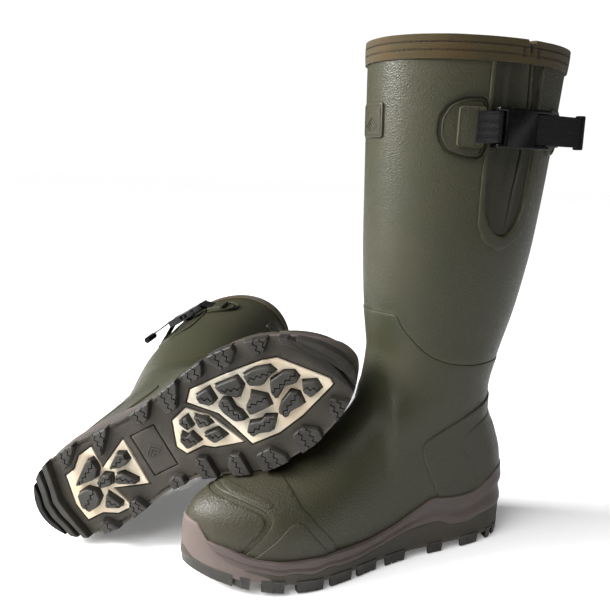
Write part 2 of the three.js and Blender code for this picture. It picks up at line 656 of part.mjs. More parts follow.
function makeStrapTail() {
  const barX = socketBack + barThickness + slotOpening;
  const front = barX + barThickness + 2;
  const path = [[socketBack + 2.2, buckleMiddle - passGap], [front - 1.2, buckleMiddle - passGap],
    [front, buckleMiddle - passGap / 2], [front, buckleMiddle + passGap / 2],
    [front - 1.2, buckleMiddle + passGap], [socketBack - 2, buckleMiddle + passGap],
    [socketBack - tailLength / 2, buckleMiddle + passGap - 3], [socketBack - tailLength, buckleMiddle - 4]];
  const roll = solidOf(new THREE.CylinderGeometry(rollDiameter / 2, rollDiameter / 2, webbingWidth + 1, 12)
    .rotateX(Math.PI / 2).translate(socketBack - tailLength, buckleMiddle - 4, strapHeight));
  return ribbon(path, webbingThickness, webbingWidth).add(roll);
}

function makePlug() {
  const body = strapBlock(socketFront + clearance, buckleFront, buckleInner, buckleOuter, -halfBuckle, halfBuckle);
  const slot = strapBlock(plugBarBack - slotOpening, plugBarBack, buckleInner - 1, buckleOuter + 1, -halfSlot, halfSlot);
  const recess = (y0, y1) => strapBlock(plugBarBack - 1, buckleFront + 1, y0, y1, -halfSlot, halfSlot);
  const tongue = strapBlock(socketFront - prongLength + 3, socketFront + 1, barFrom - 0.6, barTo + 0.6, -4, 4);
  const pockets = [-1, 1].map((side) => strapBlock(socketFront - 1, prongPivotX + prongThickness / 2 + clearance,
    buckleInner + buckleWall - clearance, buckleOuter - buckleWall + clearance,
    side > 0 ? prongArm - clearance : -prongArm - prongThickness - clearance,
    side > 0 ? prongArm + prongThickness + clearance : -prongArm + clearance));
  return body.subtract(slot).subtract(recess(buckleInner - 1, barFrom)).subtract(recess(barTo, buckleOuter + 1))
    .subtract(pockets[0]).subtract(pockets[1]).add(tongue);
}

function makeProng(side) {
  const [y0, y1] = [buckleInner + buckleWall + clearance, buckleOuter - buckleWall - clearance];
  const tip = socketFront - prongLength;
  const arm = [[prongPivotX + prongThickness / 2, prongArm], [prongPivotX + prongThickness / 2, prongArm + prongThickness],
    [tip + 9, prongArm + prongThickness], [tip + 7.4, halfBuckle - 0.4], [tip + 3, halfBuckle - 0.8],
    [tip, prongArm + prongThickness - 0.5], [tip, prongArm]];
  return sidePrism(arm.map(([x, z]) => [x, strapHeight + side * z]), y0, y1);
}

function makeSocket() {
  const body = strapBlock(socketBack, socketFront, buckleInner, buckleOuter, -halfBuckle, halfBuckle);
  const cavityBack = socketFront - prongLength - 1;
  const cavity = strapBlock(cavityBack, socketFront + 1, buckleInner + buckleWall, buckleOuter - buckleWall,
    -halfBuckle + buckleWall, halfBuckle - buckleWall);
  const windows = strapBlock(cavityBack + 1.6, cavityBack + 11, buckleInner + buckleWall, buckleOuter - buckleWall,
    -halfBuckle - 1, halfBuckle + 1);
  const barX = socketBack + barThickness + slotOpening;
  const slots = [[socketBack + barThickness, barX], [barX + barThickness, barX + barThickness + slotOpening]]
    .map(([from, to]) => strapBlock(from, to, buckleInner - 1, buckleOuter + 1, -halfSlot, halfSlot));
  const recess = (y0, y1) => strapBlock(socketBack - 1, barX + barThickness + 1, y0, y1, -halfSlot, halfSlot);
  return body.subtract(cavity).subtract(windows).subtract(slots[0]).subtract(slots[1])
    .subtract(recess(buckleInner - 1, barFrom)).subtract(recess(barTo, buckleOuter + 1));
}

function makeBadge() {
  const [from, to] = [badgeShift - badgeWidth / 2, badgeShift + badgeWidth / 2];
  return skin(shaft, clearance, clearance + badgeThickness)
    .intersect(block(60, far, from, to, bootHeight - badgeTop - badgeHeight, bootHeight - badgeTop));
}

const pieces = [
  ['outsole', makeTread, colours.sole, 0.85],
  ['forefoot_grip_pad', () => makePad('forefoot_grip_pad'), colours.pad, 0.8],
  ['waist_grip_pad', () => makePad('waist_grip_pad'), colours.pad, 0.8],
  ['heel_grip_pad', () => makePad('heel_grip_pad'), colours.pad, 0.8],
  ['midsole', makeMidsole, colours.midsole, 0.8],
  ['shank', makeShank, colours.steel, 0.4, 0.9],
  ['toe_bumper', makeBumper, colours.overlay, 0.7],
  ['foot_shell', makeFootShell, colours.rubber, 0.6],
  ['shaft_shell', makeShaftShell, colours.rubber, 0.6],
  ['toe_cap', makeToeCap, colours.overlay, 0.6],
  ['vamp_overlay', makeVamp, colours.overlay, 0.6],
  ['heel_counter', makeCounter, colours.overlay, 0.6],
  ['foot_lining', makeFootLining, colours.lining, 0.95],
  ['shaft_lining', makeShaftLining, colours.lining, 0.95],
  ['footbed', makeFootbed, colours.lining, 0.9],
  ['gusset', makeGusset, colours.rubber, 0.6],
  ['gusset_surround', makeSurround, colours.overlay, 0.6],
  ['top_binding', makeBinding, colours.binding, 0.9],
  ['badge', makeBadge, colours.overlay, 0.6],
  ['front_strap_anchor', makeFrontAnchor, colours.overlay, 0.6],
  ['front_webbing', () => ribbon(hairpin, webbingThickness, webbingWidth), colours.webbing, 0.9],
  ['buckle_plug', makePlug, colours.buckle, 0.3],
  ['buckle_prong_upper', () => makeProng(1), colours.buckle, 0.3],
  ['buckle_prong_lower', () => makeProng(-1), colours.buckle, 0.3],
  ['buckle_socket', makeSocket, colours.buckle, 0.3],
  ['rear_strap_anchor', makeRearAnchor, colours.overlay, 0.6],
  ['rear_webbing', makeRearWebbing, colours.webbing, 0.9],
  ['strap_tail', makeStrapTail, colours.webbing, 0.9],
].map(([name, make, ...look]) => ({ name, solid: make(), look }));

const pair = new THREE.Group();
const left = new THREE.Group();
pieces.forEach(({ name, solid, look }) => left.add(meshOf(`left_${name}`, solid, ...look)));
left.position.set(restPoint, 0, 0);
left.rotation.z = Math.PI;
pair.add(left);

// the right boot is the left one mirrored, then laid down
const right = new THREE.Group();
const mirrored = new THREE.Group();
pieces.forEach(({ name, solid, look }) => mirrored.add(meshOf(`right_${name}`, solid, ...look)));
mirrored.scale.y = -1;
mirrored.position.x = -rightBootMiddle;
right.add(mirrored);
const toe = new THREE.Vector3(...rightBootToe).normalize();
const up = new THREE.Vector3(...rightBootShaft).addScaledVector(toe, -toe.dot(new THREE.Vector3(...rightBootShaft)))
  .normalize();
const across = up.clone().cross(toe);
right.applyMatrix4(new THREE.Matrix4().makeBasis(toe, across, up));
right.position.set(...rightBootPlace);
pair.add(right);

export default pair;
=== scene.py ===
import math

import bmesh
import bpy
import numpy as np
from mathutils import Matrix, Vector
from mathutils.geometry import delaunay_2d_cdt


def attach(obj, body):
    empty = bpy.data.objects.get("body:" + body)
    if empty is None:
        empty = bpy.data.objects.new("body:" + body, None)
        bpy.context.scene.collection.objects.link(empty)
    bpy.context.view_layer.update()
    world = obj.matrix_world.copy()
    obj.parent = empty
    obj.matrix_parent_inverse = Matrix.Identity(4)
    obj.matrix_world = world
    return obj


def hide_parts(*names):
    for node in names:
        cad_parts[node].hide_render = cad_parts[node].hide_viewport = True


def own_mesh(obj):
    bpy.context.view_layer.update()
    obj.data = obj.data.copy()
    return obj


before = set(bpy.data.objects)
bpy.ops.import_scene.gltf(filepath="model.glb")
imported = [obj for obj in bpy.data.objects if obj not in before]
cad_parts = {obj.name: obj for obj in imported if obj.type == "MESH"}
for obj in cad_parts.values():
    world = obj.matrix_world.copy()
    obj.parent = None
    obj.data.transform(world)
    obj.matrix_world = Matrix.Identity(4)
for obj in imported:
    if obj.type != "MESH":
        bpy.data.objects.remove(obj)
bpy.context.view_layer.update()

# boot frame, in millimetres: x from the heel to the toe, y to the outer side, z up from the ground
boot = {
    "soleLength": 322.0, "ballWidth": 112.0, "height": 456.0, "ankleWidth": 94.0, "ankleHeight": 150.0,
    "rimFront": 159.0, "rimLength": 190.0, "rimWidth": 142.0, "equator": 34.0,
    "toeSpring": 14.0, "springStart": 0.66, "upperInset": 4.0, "tipShift": -12.0,
}
stand = {  # where each boot is, in the row frame
    "restPoint": 78.0, "lyingPlace": (-241.5, 33.8, 110.0), "lyingMiddle": 156.0,
    "lyingToe": (0.678, -0.5135, 0.526), "lyingShaft": (0.5826, 0.8117, 0.0416),
}


def sideMatrix(side):
    if side == "left":
        turn = Matrix.Rotation(math.pi, 4, "Z")
        return Matrix.Translation((stand["restPoint"] / 1000, 0, 0)) @ turn
    toe = Vector(stand["lyingToe"]).normalized()
    shaft = Vector(stand["lyingShaft"])
    shaft = (shaft - toe * toe.dot(shaft)).normalized()
    across = shaft.cross(toe)
    basis = Matrix((toe, across, shaft)).transposed().to_4x4()
    place = Matrix.Translation(Vector(stand["lyingPlace"]) / 1000)
    return place @ basis @ Matrix.Translation((-stand["lyingMiddle"] / 1000, 0, 0))


bodyOf = {
    "left": {"boot": "standing_boot", "socket": "left_buckle_release",
             "upper": "left_upper_prong", "lower": "left_lower_prong"},
    "right": {"boot": "lying_boot", "socket": "right_buckle_release",
              "upper": "right_upper_prong", "lower": "right_lower_prong"},
}


# curves and the upper's form

def curveThrough(stations):
    xs = np.array([s[0] for s in stations], float)
    ys = np.array([s[1] for s in stations], float)
    slope = np.diff(ys) / np.diff(xs)
    before, after = slope[:-1], slope[1:]
    same = before * after > 0
    middle = np.where(same, 2 * before * after / np.where(same, before + after, 1), 0)
    tangent = np.concatenate([slope[:1], middle, slope[-1:]])

    def curve(x):
        x = np.clip(x, xs[0], xs[-1])
        i = np.clip(np.searchsorted(xs, x, side="right") - 1, 0, len(xs) - 2)
        width = xs[i + 1] - xs[i]
        t = (x - xs[i]) / width
        return (ys[i] * (1 + 2 * t) * (1 - t) ** 2 + tangent[i] * width * t * (1 - t) ** 2
                + ys[i + 1] * t * t * (3 - 2 * t) + tangent[i + 1] * width * t * t * (t - 1))
    return curve


def smooth(start, end, x):
    t = np.clip((x - start) / (end - start), 0, 1)
    return t * t * (3 - 2 * t)


def turnOf(share):
    return np.arccos(1 - 2 * np.clip(share, 0, 1))


length, ball, height = boot["soleLength"], boot["ballWidth"], boot["height"]
ankle, equator = boot["ankleHeight"], boot["equator"]
ankleHalf = boot["ankleWidth"] / 2
tipShift = boot["tipShift"]
outerEdge = curveThrough([(turnOf(x), y) for x, y in [
    (0, 0), (0.012, 0.30), (0.045, 0.55), (0.105, 0.72), (0.20, 0.775), (0.36, 0.76), (0.50, 0.83),
    (0.60, 0.94), (0.70, 1), (0.79, 0.93), (0.875, 0.73), (0.945, 0.42), (0.985, 0.08),
    (1, tipShift * 2 / ball)]])
innerEdge = curveThrough([(turnOf(x), y) for x, y in [
    (0, 0), (0.012, 0.29), (0.045, 0.54), (0.105, 0.72), (0.19, 0.78), (0.30, 0.68), (0.39, 0.60),
    (0.46, 0.61), (0.54, 0.75), (0.62, 0.92), (0.70, 1), (0.79, 0.97), (0.88, 0.83), (0.95, 0.62),
    (0.985, 0.42), (1, -tipShift * 2 / ball)]])
tipX = length - boot["upperInset"]
throatX = 0.462 * tipX
throatHeight = ankle + 40
instep = curveThrough([(turnOf(x / tipX), z) for x, z in [
    (throatX, throatHeight), (0.475 * tipX, ankle + 5), (0.515 * tipX, 136), (0.58 * tipX, 117),
    (0.66 * tipX, 103), (0.753 * tipX, 92), (0.84 * tipX, 82), (0.913 * tipX, 71), (0.962 * tipX, 59),
    (0.99 * tipX, 47), (tipX, equator)]])
shaftFront = curveThrough([(throatHeight, throatX), (ankle + 90, throatX + 6),
                           (height - 120, throatX + 9), (height + 12, boot["rimFront"])])
backX = curveThrough([
    (0, 4), (34, 2), (62, 2), (84, 5), (108, 14), (ankle - 20, 24), (ankle + 2, 24.5), (ankle + 30, 18),
    (ankle + 80, 2), (height - 125, -15), (height + 12, boot["rimFront"] - boot["rimLength"])])
shaftHalf = curveThrough([
    (0, ankleHalf - 4), (ankle - 10, ankleHalf), (ankle + 50, ankleHalf + 5), (ankle + 145, ankleHalf + 18),
    (height + 12, boot["rimWidth"] / 2)])
sideGrowth = curveThrough([(0, 0.90), (34, 0.95), (60, 0.98), (100, 1), (ankle, 1.08)])


def outerY(x):
    return outerEdge(turnOf(x / length)) * ball / 2


def innerY(x):
    return -innerEdge(turnOf(x / length)) * ball / 2


def middleY(x):
    return tipShift * smooth(0.35 * length, length, x)


def spring(x):
    start = boot["springStart"] * length
    return boot["toeSpring"] * np.maximum(0, (x - start) / (length - start)) ** 2


def topHeight(x):
    return np.where(x < throatX, throatHeight + (throatX - x) * 40, instep(turnOf(x / tipX)))


def noseAt(z):
    z = np.asarray(z, float)
    low = np.full(z.shape, throatX)
    high = np.full(z.shape, tipX)
    for _ in range(36):
        middle = (low + high) / 2
        above = topHeight(middle) > z
        low = np.where(above, middle, low)
        high = np.where(above, high, middle)
    return np.where(z <= equator, tipX, np.where(z >= throatHeight, shaftFront(z), low))


noseLevels = np.arange(-20, height + 40, 0.2)
noseTable = noseAt(noseLevels)


def noseX(z):
    return np.interp(z, noseLevels, noseTable)


def formPoint(angle, z):
    angle, z = np.broadcast_arrays(np.asarray(angle, float), np.asarray(z, float))
    back, nose = backX(z), noseX(z)
    x = back + (1 - np.cos(angle)) / 2 * (nose - back)
    soleX = (x - back) * length / (tipX - back)
    edge = np.where(np.sin(angle) >= 0, outerY(soleX), innerY(soleX)) - middleY(soleX)
    level = np.maximum(0, (z - equator) / (topHeight(x) - equator))
    arch = np.sqrt(np.maximum(0, 1 - level ** 2.3))
    footY = edge * (1 - 2 * boot["upperInset"] / ball) * sideGrowth(z) * arch
    shaftY = shaftHalf(z) * np.sign(np.sin(angle)) * np.abs(np.sin(angle)) ** 0.94
    share = smooth(ankle - 45, ankle + 35, z)
    y = footY * (1 - share) + shaftY * share + middleY(soleX) * (1 - share)
    return np.stack([x, y, z + spring(x)], -1)


def grown(angle, z, by):
    along = formPoint(np.asarray(angle) + 0.02, z) - formPoint(np.asarray(angle) - 0.02, z)
    up = formPoint(angle, np.asarray(z) + 0.6) - formPoint(angle, np.asarray(z) - 0.6)
    normal = np.cross(up, along)
    normal /= np.linalg.norm(normal, axis=-1, keepdims=True)
    return formPoint(angle, z) + normal * np.asarray(by)[..., None]


def angleAt(x, z, side=1):
    level = z - spring(x)
    back, nose = backX(level), noseX(level)
    return side * np.arccos(1 - 2 * np.clip((x - back) / (nose - back), 0, 1)), level


# charts: flat coordinates in millimetres that lie on the form

def sideChart(u, v, lift):
    angle, level = angleAt(u, v)
    return grown(angle, level, lift)


ridgeLevels = np.arange(0, 250, 0.5)
ridgeRun = np.concatenate([[0], np.cumsum(np.hypot(np.diff(noseX(ridgeLevels)), 0.5))])
toeSpread, heelSpread = 90.0, 60.0


def toeChart(u, v, lift):
    return grown(math.pi - np.asarray(u) / toeSpread, np.interp(v, ridgeRun, ridgeLevels), lift)


def toChartAtToe(x, z, side):
    angle, level = angleAt(x, z)
    return np.stack([side * (math.pi - angle) * toeSpread, np.interp(level, ridgeLevels, ridgeRun)], -1)


def heelChart(u, v, lift):
    return grown(np.asarray(u) / heelSpread, v, lift)


def toChartAtHeel(x, z, side):
    angle, level = angleAt(x, z)
    return np.stack([side * angle * heelSpread, level], -1)


def frontChart(u, v, lift):
    sine = np.clip(np.abs(u) / shaftHalf(v), 0, 1) ** (1 / 0.94)
    return grown(math.pi - np.sign(u) * np.arcsin(sine), v, lift)


# outlines and meshes

def pathPoints(points, step, closed=False):
    points = np.asarray(points, float)
    ends = np.vstack([points[1:], points[:1]]) if closed else points[1:]
    run = []
    for start, end in zip(points, ends):
        count = max(1, int(math.ceil(np.linalg.norm(end - start) / step)))
        run.append(start + (end - start) * (np.arange(count) / count)[:, None])
    if not closed:
        run.append(points[-1:])
    return np.vstack(run)


def rounded(points, times=2, closed=True, cut=0.25):
    points = np.asarray(points, float)
    for _ in range(times):
        after = np.roll(points, -1, 0) if closed else points[1:]
        before = points if closed else points[:-1]
        pairs = np.stack([before * (1 - cut) + after * cut, before * cut + after * (1 - cut)], 1)
        middle = pairs.reshape(-1, points.shape[1])
        points = middle if closed else np.vstack([points[:1], middle[1:-1], points[-1:]])
    return points


def signedArea(loop):
    x, y = loop[:, 0], loop[:, 1]
    return (x * np.roll(y, -1) - y * np.roll(x, -1)).sum() / 2


def counterclockwise(loop):
    return loop if signedArea(loop) > 0 else loop[::-1]


def shifted(loop, by):
    before, after = np.roll(loop, 1, 0), np.roll(loop, -1, 0)
    into, out = loop - before, after - loop
    into /= np.linalg.norm(into, axis=1, keepdims=True) + 1e-9
    out /= np.linalg.norm(out, axis=1, keepdims=True) + 1e-9
    normal = np.stack([-(into[:, 1] + out[:, 1]), into[:, 0] + out[:, 0]], 1)
    size = (normal ** 2).sum(1) / 2
    return loop + normal * (by / np.maximum(size, 0.7))[:, None]


def inside(loop, points):
    x, y = points[:, 0][:, None], points[:, 1][:, None]
    x0, y0 = loop[:, 0][None], loop[:, 1][None]
    x1, y1 = np.roll(loop, -1, 0)[:, 0][None], np.roll(loop, -1, 0)[:, 1][None]
    with np.errstate(divide="ignore", invalid="ignore"):
        crosses = ((y0 > y) != (y1 > y)) & (x < (x1 - x0) * (y - y0) / (y1 - y0) + x0)
    return crosses.sum(1) % 2 == 1


def nearest(points, others):
    best = np.full(len(points), 1e9)
    for start in range(0, len(others), 64):
        part = others[start:start + 64]
        distance = np.linalg.norm(points[:, None] - part[None], axis=2).min(1)
        best = np.minimum(best, distance)
    return best


def triangulate(loops, inner):
    points = np.vstack(list(loops) + [inner]) if len(inner) else np.vstack(loops)
    edges, start = [], 0
    for loop in loops:
        count = len(loop)
        edges += [(start + i, start + (i + 1) % count) for i in range(count)]
        start += count
    flat = [Vector((float(x), float(y))) for x, y in points]
    found, _, faces, origins, _, _ = delaunay_2d_cdt(flat, edges, [], 0, 1e-6)
    index, extra = [], []
    for i, origin in enumerate(origins):
        if origin:
            index.append(origin[0])
        else:
            index.append(len(points) + len(extra))
            extra.append(tuple(found[i]))
    if extra:
        points = np.vstack([points, extra])
    triangles = np.array([[index[i] for i in face] for face in faces])
    centres = points[triangles].mean(1)
    keep = inside(loops[0], centres)
    for loop in loops[1:]:
        keep &= ~inside(loop, centres)
    return points, triangles[keep]


def patch(outline, place, lift, spacing=3.0, roundness=0.7, holes=(), sink=0.4, shape=None, lines=()):
    loops = []
    for i, loop in enumerate([outline, *holes]):
        loop = pathPoints(loop, spacing * 0.8, closed=True)
        if (signedArea(loop) > 0) != (i == 0):
            loop = loop[::-1]
        loops.append(loop)
    roundness = min(roundness, abs(lift) + sink)
    tops = [shifted(loop, roundness) for loop in loops]
    low, high = tops[0].min(0), tops[0].max(0)
    rows = np.arange(low[1] + spacing / 2, high[1], spacing * 0.87)
    columns = np.arange(low[0] + spacing / 2, high[0], spacing)
    inner = np.array([(x + (j % 2) * spacing / 2, y) for j, y in enumerate(rows) for x in columns])
    inner = inner.reshape(-1, 2)
    if len(lines):
        dense = np.vstack(lines)
        inner = np.vstack([inner[nearest(inner, dense) > spacing * 0.4], dense])
    if len(inner):
        keep = inside(tops[0], inner)
        for loop in tops[1:]:
            keep &= ~inside(loop, inner)
        inner = inner[keep]
        inner = inner[nearest(inner, np.vstack(tops)) > spacing * 0.45] if len(inner) else inner
    flat, triangles = triangulate(tops, inner)
    rise = np.full(len(flat), float(lift))
    if shape is not None:
        rise = rise + shape(flat[:, 0], flat[:, 1])
    points = [place(flat[:, 0], flat[:, 1], rise), place(flat[:, 0], flat[:, 1], np.full(len(flat), -sink))]
    count = len(flat)
    faces = [tuple(t) for t in triangles] + [tuple(t[::-1] + count) for t in triangles]
    start, base = 0, 2 * count
    for loop in loops:
        n = len(loop)
        rings = [(0, -sink), (0, lift - roundness), (0.3 * roundness, lift - 0.3 * roundness)]
        for shift, level in rings:
            moved = shifted(loop, shift) if shift else loop
            points.append(place(moved[:, 0], moved[:, 1], np.full(n, level)))
        chain = [[count + start + i for i in range(n)]]
        chain += [[base + k * n + i for i in range(n)] for k in range(3)]
        chain += [[start + i for i in range(n)]]
        for one, two in zip(chain, chain[1:]):
            faces += [(one[i], one[(i + 1) % n], two[(i + 1) % n], two[i]) for i in range(n)]
        start += n
        base += 3 * n
    return np.vstack(points), faces


def gridShape(points, wrapRows=False, wrapColumns=False, caps=False):
    rows, columns = points.shape[:2]
    faces = []
    for r in range(rows if wrapRows else rows - 1):
        s = (r + 1) % rows
        for c in range(columns if wrapColumns else columns - 1):
            d = (c + 1) % columns
            faces.append((r * columns + c, s * columns + c, s * columns + d, r * columns + d))
    if caps and wrapRows:
        faces.append(tuple(r * columns for r in range(rows)))
        faces.append(tuple((r + 1) * columns - 1 for r in reversed(range(rows))))
    if caps and wrapColumns:
        faces.append(tuple(range(columns)))
        faces.append(tuple((rows - 1) * columns + c for c in reversed(range(columns))))
    return points.reshape(-1, 3), faces


def together(*shapes):
    points, faces, start = [], [], 0
    for vertices, polygons in shapes:
        points.append(vertices)
        faces += [tuple(int(i) + start for i in polygon) for polygon in polygons]
        start += len(vertices)
    return np.vstack(points), faces


def prism(loop, rings):
    loop = np.asarray(loop, float)
    if signedArea(loop) < 0:
        loop = loop[::-1]
    points = []
    for shift, z in rings:
        moved = shifted(loop, shift) if shift else loop
        points.append(np.column_stack([moved, np.full(len(loop), float(z))]))
    return gridShape(np.stack(points), wrapColumns=True, caps=True)


def meshOf(name, shape, side=None, smoothAngle=38):
    points, faces = shape
    points = np.asarray(points, float) / 1000
    if side == "right":
        points = points * (1, -1, 1)
    if side:
        place = np.array(sideMatrix(side))
        points = points @ place[:3, :3].T + place[:3, 3]
    mesh = bpy.data.meshes.new(name)
    mesh.from_pydata(points.tolist(), [], [tuple(int(i) for i in f) for f in faces])
    work = bmesh.new()
    work.from_mesh(mesh)
    bmesh.ops.remove_doubles(work, verts=work.verts, dist=1e-6)
    bmesh.ops.recalc_face_normals(work, faces=work.faces)
    work.to_mesh(mesh)
    work.free()
    mesh.shade_smooth()
    mesh.set_sharp_from_angle(angle=math.radians(smoothAngle))
    return mesh


def cutAway(shape, cutter):
    objects = []
    for name, one in (("cut_body", shape), ("cut_tool", cutter)):
        objects.append(bpy.data.objects.new(name, meshOf(name, one)))
        bpy.context.collection.objects.link(objects[-1])
    body, tool = objects
    change = body.modifiers.new("cut", "BOOLEAN")
    change.operation = "DIFFERENCE"
    change.solver = "MANIFOLD"
    change.object = tool
    bpy.context.view_layer.update()
    done = body.evaluated_get(bpy.context.evaluated_depsgraph_get()).to_mesh()
    work = bmesh.new()
    work.from_mesh(done)
    bmesh.ops.triangulate(work, faces=[face for face in work.faces if len(face.verts) > 4])
    points = np.array([vert.co for vert in work.verts]) * 1000
    faces = [tuple(vert.index for vert in face.verts) for face in work.faces]
    work.free()
    body.evaluated_get(bpy.context.evaluated_depsgraph_get()).to_mesh_clear()
    for one in objects:
        mesh = one.data
        bpy.data.objects.remove(one)
        bpy.data.meshes.remove(mesh)
    return points, faces


materials = {}


def addPiece(name, shape, finish, nodes, part="boot", smoothAngle=38, uv=None, crumple=None):
    for side in ("left", "right"):
        mesh = meshOf(f"{side}_{name}", shape, side, smoothAngle)
        if uv is not None:
            layer = mesh.uv_layers.new(name="UVMap")
            at = np.array([l.vertex_index for l in mesh.loops])
            layer.data.foreach_set("uv", np.asarray(uv, np.float32)[at].ravel())
        mesh.materials.append(materials[finish])
        piece = bpy.data.objects.new(f"{side}_{name}", mesh)
        bpy.context.collection.objects.link(piece)
        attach(piece, bodyOf[side][part])
        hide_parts(*[f"{side}_{node}" for node in nodes])
        if crumple:
            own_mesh(piece)


# finishes: shader groups first, then one material for each finish

def groupOf(name, inputs, outputs):
    tree = bpy.data.node_groups.new(name, "ShaderNodeTree")
    for label, kind, value in inputs:
        socket = tree.interface.new_socket(name=label, in_out="INPUT", socket_type=kind)
        socket.default_value = value
    for label, kind in outputs:
        tree.interface.new_socket(name=label, in_out="OUTPUT", socket_type=kind)
    return tree, tree.nodes.new("NodeGroupInput"), tree.nodes.new("NodeGroupOutput")


def node(tree, kind, inputs=None, **settings):
    made = tree.nodes.new("ShaderNode" + kind)
    for key, value in settings.items():
        setattr(made, key, value)
    for key, value in (inputs or {}).items():
        if isinstance(value, bpy.types.NodeSocket):
            tree.links.new(value, made.inputs[key])
        else:
            made.inputs[key].default_value = value
    return made


def calc(tree, operation, *values):
    return node(tree, "Math", dict(enumerate(values)), operation=operation).outputs[0]


def mixed(tree, mask, first, second):
    return node(tree, "Mix", {"Factor": mask, 6: first, 7: second}, data_type="RGBA").outputs[2]


number, colour = "NodeSocketFloat", "NodeSocketColor"


def makeGrainGroup():
    tree, given, out = groupOf("rubberGrain", [("Cells", number, 900), ("Softness", number, 0.5)],
                               [("Height", number), ("Glints", number)])
    at = node(tree, "TexCoord").outputs["Object"]
    cells = node(tree, "TexVoronoi", {"Vector": at, "Scale": given.outputs["Cells"], "Smoothness": 0.6},
                 feature="SMOOTH_F1")
    finer = calc(tree, "MULTIPLY", given.outputs["Cells"], 0.55)
    fine = node(tree, "TexNoise", {"Vector": at, "Scale": finer, "Detail": 3.0, "Roughness": 0.6})
    patchy = node(tree, "TexNoise", {"Vector": at, "Scale": 26.0, "Detail": 2.0})
    share = calc(tree, "MULTIPLY", fine.outputs[0], given.outputs["Softness"])
    height = calc(tree, "ADD", calc(tree, "MULTIPLY", cells.outputs["Distance"], 0.75), share)
    glints = node(tree, "MapRange", {"Value": fine.outputs[0], "From Min": 0.45, "From Max": 0.72})
    mask = calc(tree, "MULTIPLY", glints.outputs[0], patchy.outputs[0])
    tree.links.new(height, out.inputs["Height"])
    tree.links.new(mask, out.inputs["Glints"])
    return tree


def makeDriftGroup():
    tree, given, out = groupOf("colourDrift", [
        ("Base", colour, (0.1, 0.1, 0.06, 1)), ("Warm", colour, (0.12, 0.1, 0.06, 1)),
        ("Cool", colour, (0.08, 0.09, 0.06, 1)), ("Size", number, 9.0)], [("Color", colour)])
    at = node(tree, "TexCoord").outputs["Object"]
    warm = node(tree, "TexNoise", {"Vector": at, "Scale": given.outputs["Size"], "Detail": 3.0})
    finer = calc(tree, "MULTIPLY", given.outputs["Size"], 1.7)
    cool = node(tree, "TexNoise", {"Vector": at, "Scale": finer, "Detail": 4.0, "Distortion": 0.4})
    warmMask = node(tree, "MapRange", {"Value": warm.outputs[0], "From Min": 0.45, "From Max": 0.7})
    coolMask = node(tree, "MapRange", {"Value": cool.outputs[0], "From Min": 0.5, "From Max": 0.72})
    first = mixed(tree, warmMask.outputs[0], given.outputs["Base"], given.outputs["Warm"])
    second = mixed(tree, coolMask.outputs[0], first, given.outputs["Cool"])
    tree.links.new(second, out.inputs["Color"])
    return tree


# edge rub and painted shade: patchy lighter convex edges are rub wear with painted highlight, and darker
# concave hollows and creases are painted shade
def makeRubAndShadeGroup():
    tree, given, out = groupOf("edgeRubAndHollowShade", [("Amount", number, 0.5), ("Width", number, 0.06)],
                               [("Edge", number), ("HollowShade", number)])
    sharp = node(tree, "NewGeometry").outputs["Pointiness"]
    at = node(tree, "TexCoord").outputs["Object"]
    patchy = node(tree, "TexNoise", {"Vector": at, "Scale": 60.0, "Detail": 4.0})
    high = calc(tree, "ADD", 0.5, given.outputs["Width"])
    # lighter convex edges: partly rub wear, partly painted highlight, broken up by patchy noise
    edge = node(tree, "MapRange", {"Value": sharp, "From Min": 0.505, "From Max": high})
    # painted shade: a mask that darkens concave hollows and creases
    hollowShadeRamp = node(tree, "MapRange", {"Value": sharp, "From Min": 0.495,
                                     "From Max": calc(tree, "SUBTRACT", 0.5, given.outputs["Width"])})
    spots = node(tree, "MapRange", {"Value": patchy.outputs[0], "From Min": 0.3, "From Max": 0.6})
    rubAndHighlightMask = calc(tree, "MULTIPLY", calc(tree, "MULTIPLY", edge.outputs[0], spots.outputs[0]),
                given.outputs["Amount"])
    tree.links.new(rubAndHighlightMask, out.inputs["Edge"])
    tree.links.new(calc(tree, "MULTIPLY", hollowShadeRamp.outputs[0], given.outputs["Amount"]), out.inputs["HollowShade"])
    return tree


def makeWeaveGroup():
    tree, given, out = groupOf("threadWeave", [("Pitch", number, 1.1), ("Slant", number, 1.0)],
                               [("Height", number), ("Shade", number)])
    at = node(tree, "UVMap", uv_map="UVMap").outputs[0]
    split = node(tree, "SeparateXYZ", {0: at})
    along, over = split.outputs[0], split.outputs[1]
    pace = calc(tree, "DIVIDE", 2 * math.pi, given.outputs["Pitch"])
    bend = calc(tree, "MULTIPLY", calc(tree, "PINGPONG", over, 3.1), given.outputs["Slant"])
    ribs = calc(tree, "SINE", calc(tree, "MULTIPLY", calc(tree, "ADD", along, bend), pace))
    cords = calc(tree, "SINE", calc(tree, "MULTIPLY", over, calc(tree, "MULTIPLY", pace, 0.9)))
    height = calc(tree, "ADD", calc(tree, "MULTIPLY", ribs, 0.35), calc(tree, "MULTIPLY", cords, 0.2))
    tree.links.new(calc(tree, "ADD", height, 0.5), out.inputs["Height"])
    tree.links.new(node(tree, "MapRange", {"Value": ribs, "From Min": -1.0, "From Max": 0.3}).outputs[0],
                   out.inputs["Shade"])
    return tree


groups = {"grain": makeGrainGroup(), "drift": makeDriftGroup(), "rubAndShade": makeRubAndShadeGroup(),
          "weave": makeWeaveGroup()}


def placed(tree, name, values):
    return node(tree, "Group", values, node_tree=groups[name])


def startMaterial(name):
    material = bpy.data.materials.new(name)
    material.use_nodes = True
    tree = material.node_tree
    shader = tree.nodes["Principled BSDF"]
    materials[name] = material
    return tree, shader


def shade(tone, factor):
    return (tone[0] * factor, tone[1] * factor, tone[2] * factor, 1)
